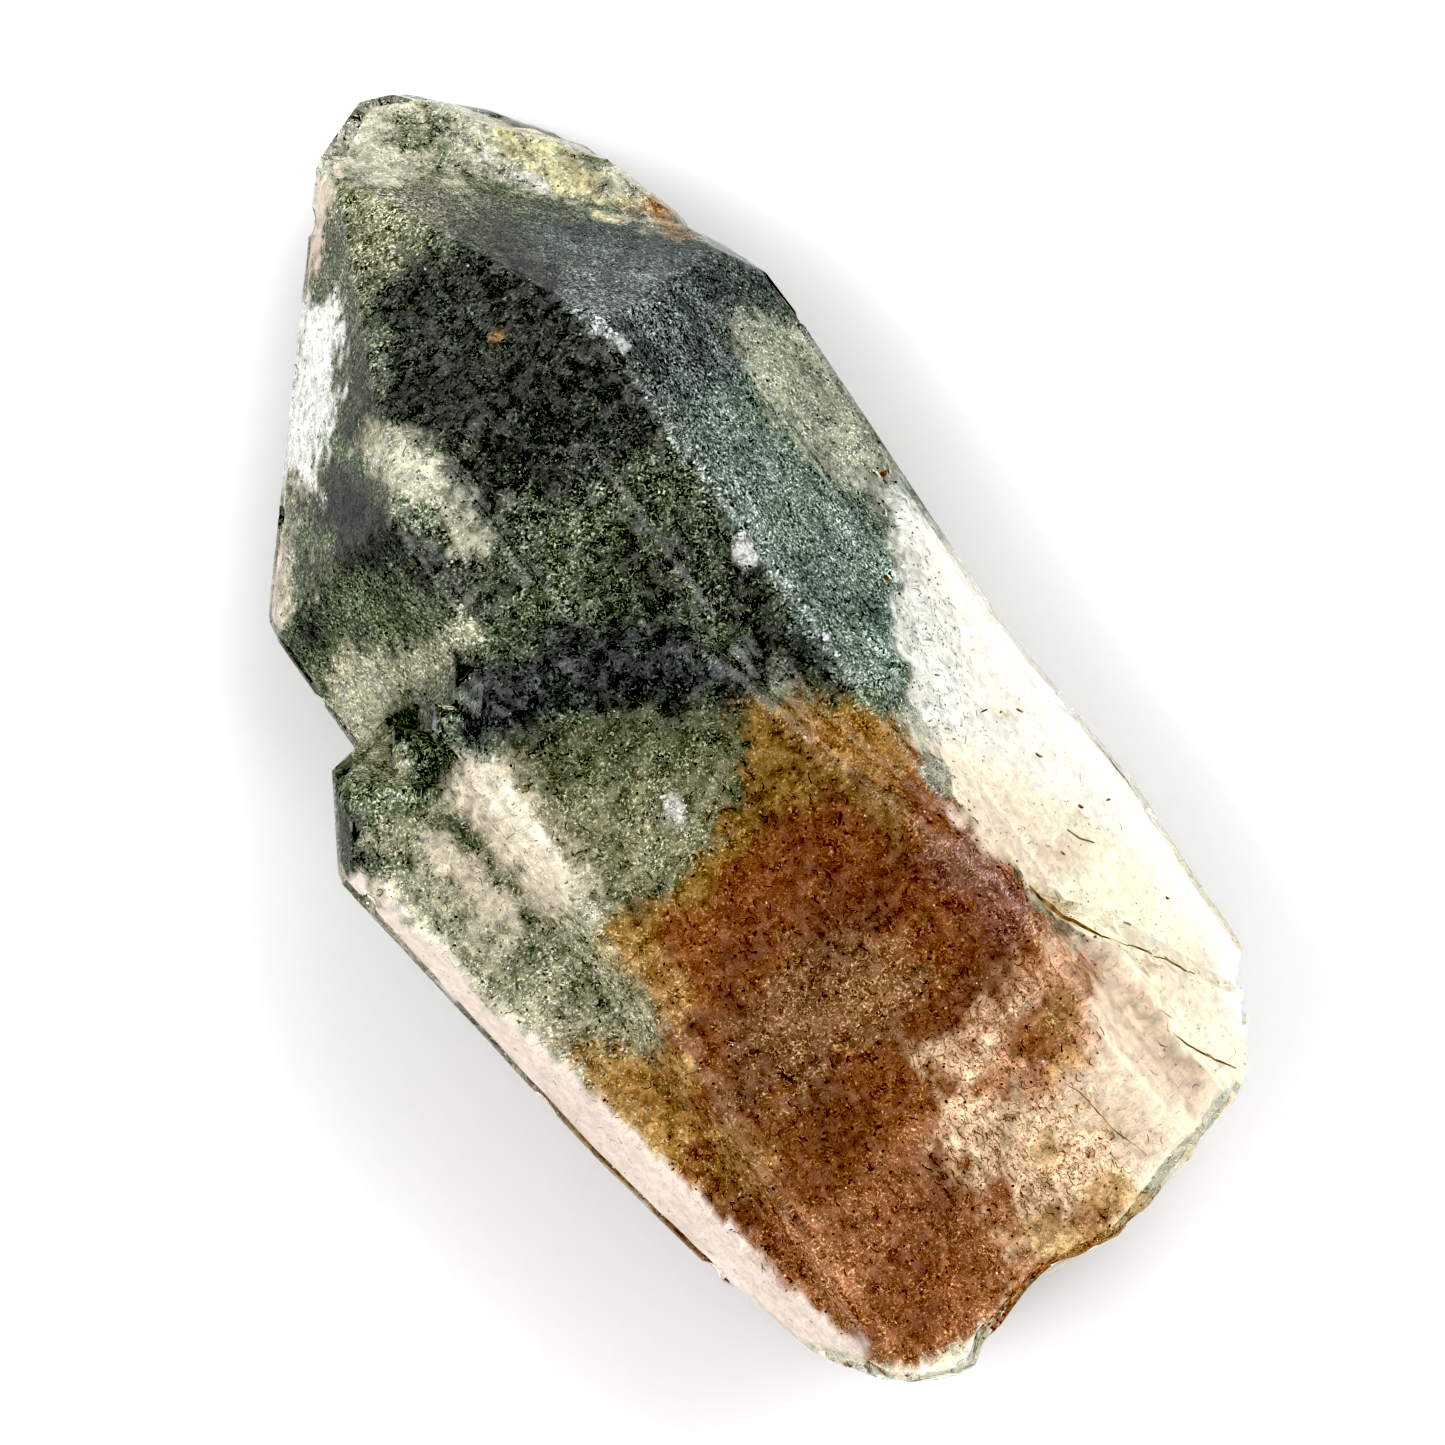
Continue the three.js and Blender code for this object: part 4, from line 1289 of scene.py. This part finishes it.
@dataclass
class Scatter:
    """Picks places over the mass, as many to each area as its mineral asks.

    Args:
        mass: The mass.
        map: Tells which mineral lies where.
        shell: The worn skin, ready to be searched.
        draw: Draws by chance.
        tries: Places that are tried each time.
        most: The number for each mm2 at which every try is kept.
        spare: How much quartz stays over each copy, mm.
    """

    mass: bpy.types.Object
    map: MineralMap
    shell: BVHTree
    draw: np.random.Generator
    tries: int = 60000
    most: float = 8.0
    spare: float = 0.03

    def roomy(self, places: np.ndarray, reach: np.ndarray) -> np.ndarray:
        """Tell which places in mm lie farther under the worn skin than their copies reach."""
        gaps = np.array([self.shell.find_nearest(Vector(place))[3] for place in places * MM]) / MM
        return gaps > reach + self.spare

    def pick(self, column: int, low: float, free: float) -> tuple[np.ndarray, np.ndarray, np.ndarray]:
        """Pick places between the mass and the skin.

        Args:
            column: Which value of the mineral's row gives the number for each mm2.
            low: Least height over the mass, as a share of the quartz there.
            free: How much of the quartz stays free under the skin, mm.

        Returns:
            Places in mm, the mass's normals and the minerals' rows.
        """
        mesh, draw = self.mass.data, self.draw
        mesh.calc_loop_triangles()
        corners = np.empty(len(mesh.loop_triangles) * 3, int)
        mesh.loop_triangles.foreach_get("vertices", corners)
        a, b, c = (points_of(mesh)[corners.reshape(-1, 3)[:, k]] / MM for k in range(3))
        cross = np.cross(b - a, c - a)
        area = np.linalg.norm(cross, axis=1)
        chosen = draw.choice(len(area), self.tries, p=area / area.sum())
        u, v = draw.random((2, self.tries, 1))
        flip = u + v > 1
        u, v = np.where(flip, 1 - u, u), np.where(flip, 1 - v, v)
        places = a[chosen] + u * (b - a)[chosen] + v * (c - a)[chosen]
        rows = self.map.rows(places, draw)
        keep = draw.random(self.tries) < rows[:, column] / self.most
        rows = rows[keep]
        normals = (cross[chosen] / area[chosen, None])[keep]
        lift = draw.uniform(low, 1.0, len(rows)) * (rows[:, DEPTH] - free)
        return places[keep] + normals * lift[:, None], normals, rows


@dataclass(frozen=True)
class Tinting:
    """How the tints of many threads or grains vary.

    Args:
        spread: How much brighter the brightest are than the dullest.
        drop: How much duller than their mineral the dullest are.
        dark: Share that has the ground's tint, not the fleck's.
        depth: What is left of the ground's light in these.
        limits: The darkest and palest linear values.
    """

    spread: float
    drop: float
    dark: float
    depth: float
    limits: tuple[float, float] = (0.002, 0.98)

    def tints(self, rows: np.ndarray, draw: np.random.Generator) -> np.ndarray:
        """Draw a linear colour for each of the minerals' rows."""
        chance = draw.random((len(rows), 1))
        bright = 1 + rows[:, GRIT, None] * (self.spread * chance**2 - self.drop)
        dark = draw.random((len(rows), 1)) < self.dark
        return np.clip(np.where(dark, rows[:, GROUND] * self.depth, rows[:, FLECK]) * bright, *self.limits)


@dataclass
class Copies:
    """Many copies of one small shape.

    Args:
        places: Where each copy lies, mm.
        frames: Each copy's three axes, as columns.
        sizes: Each copy's size along its axes, mm.
        tints: Each copy's linear colour.
        finish: Their material.
    """

    places: np.ndarray
    frames: np.ndarray
    sizes: np.ndarray
    tints: np.ndarray
    finish: bpy.types.Material

    def join(self, name: str, shape: SmallShape, chosen: np.ndarray | slice) -> None:
        """Join some of the copies in one piece.

        Args:
            name: The piece's name.
            shape: The small shape.
            chosen: Which copies go into the piece.
        """
        corner_places, triangles = shape
        places, sizes = self.places[chosen, None], self.sizes[chosen, None]
        points = np.einsum("nij,nkj->nki", self.frames[chosen], corner_places * sizes) + places
        count, corners = points.shape[:2]
        faces = (triangles + np.arange(count)[:, None, None] * corners).reshape(-1, 3)
        mesh = bpy.data.meshes.new(name)
        mesh.vertices.add(count * corners)
        mesh.vertices.foreach_set("co", (points * MM).ravel())
        mesh.loops.add(len(faces) * 3)
        mesh.loops.foreach_set("vertex_index", faces.ravel())
        mesh.polygons.add(len(faces))
        mesh.polygons.foreach_set("loop_start", np.arange(0, len(faces) * 3, 3))
        mesh.update(calc_edges=True)
        write_colour(mesh, "Tint", np.repeat(self.tints[chosen], corners, axis=0))
        finish_piece(linked(name, mesh), self.finish)


def small_shape(shape: bmesh.types.BMesh) -> SmallShape:
    """Read a bmesh as points and triangles, and free it."""
    bmesh.ops.triangulate(shape, faces=shape.faces)
    bmesh.ops.recalc_face_normals(shape, faces=shape.faces)
    shape.verts.index_update()
    points = np.array([v.co[:] for v in shape.verts])
    faces = np.array([[v.index for v in face.verts] for face in shape.faces])
    shape.free()
    return points, faces


def curled_thread(bend: float, flatness: float = 0.09, steps: int = 3) -> SmallShape:
    """Make a thread: a thin three-sided rod along y, bent into an arc.

    Args:
        bend: Angle of the arc, radians.
        flatness: Its width across the arc, of its length.
        steps: Steps along it.

    Returns:
        Points and triangles, about 1 long and 1 thick.
    """
    shape = bmesh.new()
    radius = 1 / bend
    ring = bmesh.ops.create_circle(shape, segments=3, radius=0.5)["verts"]
    bmesh.ops.rotate(shape, verts=ring, matrix=Matrix.Rotation(math.pi / 2, 3, "X"))
    bmesh.ops.scale(shape, verts=ring, vec=Vector((flatness, 1, 1)))
    bmesh.ops.translate(shape, verts=ring, vec=Vector((radius, 0, 0)))
    bmesh.ops.rotate(shape, verts=ring, matrix=Matrix.Rotation(-bend / 2, 3, "Z"))
    bmesh.ops.spin(shape, geom=shape.edges[:], cent=(0, 0, 0), axis=UP, angle=bend, steps=steps)
    bmesh.ops.holes_fill(shape, edges=shape.edges[:], sides=3)
    bmesh.ops.translate(shape, verts=shape.verts, vec=Vector((-radius, 0, 0)))
    return small_shape(shape)


def mineral_grain(foot: float = 0.6, top: float = 0.35, height: float = 0.6) -> SmallShape:
    """Make a grain: a squat four-sided block.

    Args:
        foot: How far its corners lie from its middle at the broad end.
        top: The same at the narrow end.
        height: Its height.

    Returns:
        Points and triangles, about 1 wide.
    """
    shape = bmesh.new()
    bmesh.ops.create_cone(
        shape, cap_ends=True, segments=4, radius1=foot, radius2=top, depth=height
    )
    return small_shape(shape)


def unit(rows: np.ndarray) -> np.ndarray:
    """Give each row the length 1."""
    return rows / np.linalg.norm(rows, axis=1)[:, None]


def tumbled(draw: np.random.Generator, count: int) -> np.ndarray:
    """Draw three axes for each of many copies that lie in any direction."""
    first = unit(draw.normal(size=(count, 3)))
    second = unit(np.cross(first, draw.normal(size=(count, 3))))
    return np.stack([first, second, np.cross(first, second)], axis=2)


@dataclass
class MineralThreads:
    """The curly threads that hang just above the mass.

    Args:
        scatter: Picks their places.
        low: Least height over the mass, as a share of the quartz there.
        free: Quartz that stays free over them, mm.
        length: Shortest and longest, mm.
        thickness: Thinnest and thickest, mm.
        twirl: How far they turn about their length.
        bends: The arcs' angles, radians.
        reach: How far a thread reaches from its middle, of its length and of its thickness.
        tinting: How their tints vary.
    """

    scatter: Scatter
    low: float = 0.02
    free: float = 0.26
    length: tuple[float, float] = (0.2, 0.62)
    thickness: tuple[float, float] = (0.04, 0.085)
    twirl: float = 0.3
    bends: tuple[float, ...] = (0.8, 1.7, 2.8)
    reach: tuple[float, float] = (0.3, 0.6)
    tinting: Tinting = Tinting(0.75, 0.45, 0.18, 0.5)

    def laid(self, normals: np.ndarray, lie: np.ndarray) -> np.ndarray:
        """Lay the threads along the mass.

        Args:
            normals: The mass's normals.
            lie: How far each keeps to the crystal's long axis, one to a row.

        Returns:
            Each thread's three axes, as columns.
        """
        draw = self.scatter.draw
        along = unit(draw.normal(size=normals.shape)) * (1 - lie)
        along[:, 1:2] += np.where(along[:, 1:2] < 0, -1, 1) * lie
        along = unit(along - normals * (along * normals).sum(1)[:, None])
        side = unit(np.cross(along, normals + self.twirl * draw.normal(size=normals.shape)))
        return np.stack([side, along, np.cross(side, along)], axis=2)

    def build(self, finish: bpy.types.Material) -> None:
        """Build one piece for each kind of bend, in a material."""
        draw = self.scatter.draw
        places, normals, rows = self.scatter.pick(THREADS, self.low, self.free)
        count = len(places)
        frames = self.laid(normals, rows[:, LIE, None])
        length = draw.uniform(*self.length, count)
        thick = draw.uniform(*self.thickness, count)
        tints = self.tinting.tints(rows, draw)
        copies = Copies(places, frames, np.stack([length, length, thick], axis=1), tints, finish)
        kind = draw.integers(len(self.bends), size=count)
        roomy = self.scatter.roomy(places, self.reach[0] * length + self.reach[1] * thick)
        for k, bend in enumerate(self.bends):
            copies.join(f"mineral_threads_{k + 1}", curled_thread(bend), roomy & (kind == k))


@dataclass
class MineralGrains:
    """The small grains between the threads, a few of them painted white as glints.

    Args:
        scatter: Picks their places.
        free: Quartz that stays free over them, mm.
        size: Smallest and largest, mm.
        shape: Least and most of their size that they are long, broad or thick.
        reach: How far a grain reaches from its middle, of its size.
        pieces: Into how many pieces they go.
        painted_glints: Share of grains that shine white.
        white: The linear value of the painted glints.
        tinting: How the other tints vary.
    """

    scatter: Scatter
    free: float = 0.2
    size: tuple[float, float] = (0.07, 0.17)
    shape: tuple[float, float] = (0.6, 1.3)
    reach: float = 0.7
    pieces: int = 2
    painted_glints: float = 0.02
    white: float = 0.95
    tinting: Tinting = Tinting(0.9, 0.5, 0.35, 0.7)

    def build(self, finish: bpy.types.Material) -> None:
        """Build the grains in a material."""
        draw = self.scatter.draw
        places, _, rows = self.scatter.pick(GRAINS, 0.0, self.free)
        count = len(places)
        frames = tumbled(draw, count)
        sizes = draw.uniform(*self.size, (count, 1)) * draw.uniform(*self.shape, (count, 3))
        tints = self.tinting.tints(rows, draw)
        # Painted highlights: a share of the grains is painted white to stand for glints
        tints[draw.random(count) < self.painted_glints] = self.white
        roomy = self.scatter.roomy(places, self.reach * sizes.max(axis=1))
        copies = Copies(places, frames, sizes, tints, finish)
        for k in range(self.pieces):
            chosen = roomy & (np.arange(count) % self.pieces == k)
            copies.join(f"mineral_grains_{k + 1}", mineral_grain(), chosen)


@dataclass
class WhiteChips:
    """The few white chips that shine out of the moss, each a cluster of flakes.

    Args:
        scatter: Gives the skin and the chance.
        spots: Each chip's middle from the cluster's axis and its radius, mm.
        flakes: Flakes in each chip.
        size: Smallest and largest flake, mm.
        shape: Least and most of its size that a flake is long, broad or thick.
        spread: How far flakes lie from their chip's middle, of its radius.
        deep: How far the flakes lie under the skin, mm.
        tint: Darkest and palest linear value.
    """

    scatter: Scatter
    spots: tuple[tuple[float, float, float], ...] = (
        (9.5, 19.9, 0.5), (9.9, 19.2, 0.25), (10.2, 18.4, 0.4), (8.9, 5.2, 0.4), (9.3, 5.9, 0.2),
        (-2.1, -4.1, 0.45), (-2.6, -3.4, 0.25), (-4.9, 25.6, 0.4), (-6.6, 24.6, 0.35), (10, -1.2, 0.2),
        (-8.2, 21.4, 0.3), (-11.6, 20, 0.3),
    )
    flakes: int = 16
    size: tuple[float, float] = (0.12, 0.34)
    shape: tuple[float, float] = (0.4, 1.0)
    spread: float = 0.6
    deep: tuple[float, float] = (0.22, 0.42)
    tint: tuple[float, float] = (0.75, 0.97)

    def build(self, finish: bpy.types.Material) -> None:
        """Build the chips as one piece in a material."""
        draw = self.scatter.draw
        count = len(self.spots) * self.flakes
        spots = np.repeat(np.array(self.spots), self.flakes, axis=0)
        flat = spots[:, :2] + spots[:, 2:] * self.spread * draw.normal(size=(count, 2)) + DRAWING_SHIFT
        places, normals = seen_from_above(self.scatter.shell, flat)
        places -= normals * draw.uniform(*self.deep, (count, 1))
        sizes = draw.uniform(*self.size, (count, 1)) * draw.uniform(*self.shape, (count, 3))
        tints = np.repeat(draw.uniform(*self.tint, (count, 1)), 3, axis=1)
        chips = Copies(places, tumbled(draw, count), sizes, tints, finish)
        chips.join("white_chips", mineral_grain(), slice(None))


# Cracks


@dataclass(frozen=True)
class Crack:
    """One crack's course, seen from the front.

    Args:
        course: Points along it, in mm from the cluster's axis.
        width: How wide it gapes in the middle, mm.
    """

    course: tuple[tuple[float, float], ...]
    width: float


CRACKS = (
    Crack(((10.7, -18.7), (10.9, -19.7), (11.3, -20.9), (11.9, -22.3), (12.7, -23.7)), 0.2),
    Crack(((12.5, -23.3), (13.6, -25.1), (14.4, -26.2), (14.8, -27.2), (15.3, -28.1)), 0.05),
    Crack(((12.4, -29.8), (12.8, -31), (13.1, -31.8), (13.9, -33.5)), 0.1),
    Crack(((12.6, -28.3), (12.7, -28.8), (12.9, -29.3)), 0.03),
    Crack(((11.5, -29.7), (11.6, -30), (11.8, -30.3)), 0.05),
    Crack(((5.9, -28.3), (6.3, -29.4), (6.5, -31.2), (6.7, -32.6), (7.4, -34.5)), 0.06),
    Crack(((14.3, -17.6), (14.6, -18.4), (15.1, -19.1)), 0.05),
    # Small dark pits
    Crack(((14.4, -0.35), (14.7, -0.5), (15, -0.6)), 0.5),
    Crack(((17.4, 4.7), (17.8, 4.4), (18.2, 4.3)), 0.4),
    Crack(((15.4, -13.2), (15.6, -13.6)), 0.1),
    Crack(((15.6, -16.9), (15.8, -17.2)), 0.15),
    Crack(((17, -17.7), (17.2, -17.8)), 0.1),
    Crack(((16.6, -23.9), (16.7, -24.1)), 0.08),
    Crack(((13.2, -18.3), (13.3, -18.6)), 0.08),
    Crack(((14.2, -9.6), (14.6, -9.7)), 0.08),
    Crack(((16, -10.6), (16.2, -11)), 0.09),
    Crack(((13.7, -23.4), (13.9, -23.8)), 0.06),
)


@dataclass
class Cracks:
    """The cracks under the skin of the clear crystals, as thin dark sheets.

    Args:
        shell: The worn skin, ready to be searched from above.
        cracks: The cracks.
        top: How far under the skin they begin, mm.
        deep: How far down they go, mm.
        steps: Pieces between two points of a course.
        wander: How far a crack strays from its course, mm.
        bends: The noise by which it strays.
        ends: Share of its width that it keeps at its ends.
    """

    shell: BVHTree
    cracks: tuple[Crack, ...] = CRACKS
    top: float = 0.12
    deep: float = 0.3
    steps: int = 6
    wander: float = 0.12
    bends: Layers = ((1.0, 1.3, 31), (0.6, 0.4, 32))
    ends: float = 0.15

    def trace(self, crack: Crack) -> np.ndarray:
        """Find a crack's upper edge, one point in mm to a row."""
        course = np.array(crack.course) + DRAWING_SHIFT
        share = np.linspace(0, len(course) - 1, (len(course) - 1) * self.steps + 1)
        flat = np.stack([np.interp(share, range(len(course)), course[:, axis]) for axis in range(2)], axis=1)
        flat[:, 0] += self.wander * layered(np.pad(flat, ((0, 0), (0, 1))), self.bends)
        places, _ = seen_from_above(self.shell, flat)
        return np.column_stack([flat, places[:, 2] - self.top])

    def close(self, shape: bmesh.types.BMesh, middle: np.ndarray, first: int) -> None:
        """Close a crack towards its two ends.

        Args:
            shape: The mesh with all the cracks so far.
            middle: The crack's course, one point to a row.
            first: Number of the crack's first vertex.
        """
        share = np.linspace(0, 1, len(middle))
        for v in shape.verts[first:]:
            near = int(np.argmin(np.hypot(*(middle[:, :2] - v.co.xy).T)))
            gape = min(1, 4 * share[near] * (1 - share[near]) + self.ends)
            v.co.xy = [at + (to - at) * gape for at, to in zip(middle[near], v.co.xy)]

    def build(self) -> None:
        """Build all the cracks as one piece."""
        shape = bmesh.new()
        for crack in self.cracks:
            points = self.trace(crack) * MM
            first = len(shape.verts)
            corners = [shape.verts.new(point) for point in points]
            edges = [shape.edges.new(pair) for pair in zip(corners, corners[1:])]
            sheet = bmesh.ops.extrude_edge_only(shape, edges=edges)["geom"]
            lower = [v for v in sheet if isinstance(v, bmesh.types.BMVert)]
            bmesh.ops.translate(shape, verts=lower, vec=Vector((0, 0, -self.deep)) * MM)
            faces = [face for face in sheet if isinstance(face, bmesh.types.BMFace)]
            bmesh.ops.recalc_face_normals(shape, faces=faces)
            bmesh.ops.solidify(shape, geom=faces, thickness=crack.width * MM)
            shape.verts.ensure_lookup_table()
            self.close(shape, points, first)
        finish_piece(shape_object("stained_cracks", shape), CrackFinish().material())


# The studio


@dataclass
class Studio:
    """The floor, the light and the camera.

    Args:
        middle: The point in the picture's middle, mm.
        turn: How far the crystal leans to the left in the picture, degrees.
        frame: Width of the picture at the height of the crystal's outline, mm.
        lens: Focal length, mm.
        sensor: Sensor width, mm.
        far: What lies beyond this isn't seen, m.
        floor: The floor's linear grey, roughness and gloss.
        dim: Light from all round.
        bright: What the two soft sides add to it.
        reach: Cosine of the angle at which a soft side fades out.
        fade: How far its cosine grows until it is full.
        soft_sides: Directions of the soft sides.
        bounces: How often light is followed on its way.
        dull_bounces: How often from dull or from glossy surfaces.
    """

    middle: tuple[float, float, float] = (2.63, -1.78, 12.0)
    turn: float = 36.0
    frame: float = 80.3
    lens: float = 300.0
    sensor: float = 36.0
    far: float = 20.0
    floor: tuple[float, float, float] = (0.5, 0.9, 0.1)
    dim: float = 1.4
    bright: float = 5.5
    reach: float = 0.84
    fade: float = 0.12
    soft_sides: tuple[tuple[float, float, float], ...] = ((-0.75, 0.4, 0.75), (0.8, 0.2, 0.75))
    bounces: int = 20
    dull_bounces: int = 9

    def lay_floor(self) -> None:
        """Lay the pale floor."""
        shape = bmesh.new()
        bmesh.ops.create_grid(shape, x_segments=1, y_segments=1, size=1.0)
        floor = shape_object("floor", shape)
        grey, roughness, gloss = self.floor
        shader = Shader(bpy.data.materials.new("pale_floor"))
        finish = shader.surface({
            "Base Color": (grey, grey, grey, 1.0),
            "Roughness": roughness,
            "Specular IOR Level": gloss,
        })
        floor.data.materials.append(finish)

    def light(self) -> None:
        """Light the scene softly from two broad sides, with dimmer light from all round."""
        world = bpy.data.worlds.new("studio")
        bpy.context.scene.world = world
        shader = Shader(world)
        toward = shader.place("Generated")
        strength = self.dim
        for direction in self.soft_sides:
            sockets = {0: toward, 1: Vector(direction).normalized()}
            near = shader.add("ShaderNodeVectorMath", {"operation": "DOT_PRODUCT"}, sockets, "Value")
            strength = ((near - self.reach) / self.fade).clamp() * self.bright + strength
        shader.feed(shader.tree.nodes["Background"], {"Color": (1.0, 1.0, 1.0, 1.0), "Strength": strength})

    def place_camera(self) -> None:
        """Look straight down on the crystal."""
        camera = bpy.data.cameras.new("camera")
        camera.lens = self.lens
        camera.sensor_width = self.sensor
        camera.clip_end = self.far
        holder = linked("camera", camera)
        lean = math.radians(self.turn)
        up = Vector((math.sin(lean), math.cos(lean), 0))
        right = Vector((up.y, -up.x, 0))
        matrix = Matrix((right, up, UP)).transposed().to_4x4()
        height = self.frame * self.lens / self.sensor
        matrix.translation = (Vector(self.middle) + Vector((0, 0, height))) * MM
        holder.matrix_world = matrix
        bpy.context.scene.camera = holder

    def develop(self) -> None:
        """Set how the view shows light, and how often light bounces."""
        view = bpy.context.scene.view_settings
        view.view_transform = "Standard"
        view.gamma = VIEW_GAMMA
        view.use_curve_mapping = True
        view.curve_mapping.black_level = (VIEW_BLACK, VIEW_BLACK, VIEW_BLACK)
        view.curve_mapping.update()
        cycles = bpy.context.scene.cycles
        cycles.caustics_refractive = True
        cycles.max_bounces = self.bounces
        cycles.diffuse_bounces = self.dull_bounces
        cycles.glossy_bounces = self.dull_bounces

    def build(self) -> None:
        """Build the studio."""
        self.lay_floor()
        self.light()
        self.place_camera()
        self.develop()


def main() -> None:
    """Build and dress the crystal."""
    logging.basicConfig(level=logging.INFO, format="%(message)s")
    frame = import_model()
    source = frame["nodes"][NODE]
    Studio().build()
    minerals = MineralMap(search_tree(merged_copy(source.data)))
    mass = MineralMass(minerals).build(source)
    skin = QuartzSkin().build(source)
    worn = bmesh.new()
    worn.from_mesh(skin.data)
    shell = search_tree(worn)
    scatter = Scatter(mass, minerals, shell, np.random.default_rng(7))
    finish = GrainFinish().material()
    MineralThreads(scatter).build(finish)
    MineralGrains(scatter).build(finish)
    WhiteChips(scatter).build(finish)
    Cracks(shell).build()


if __name__ == "__main__":
    main()
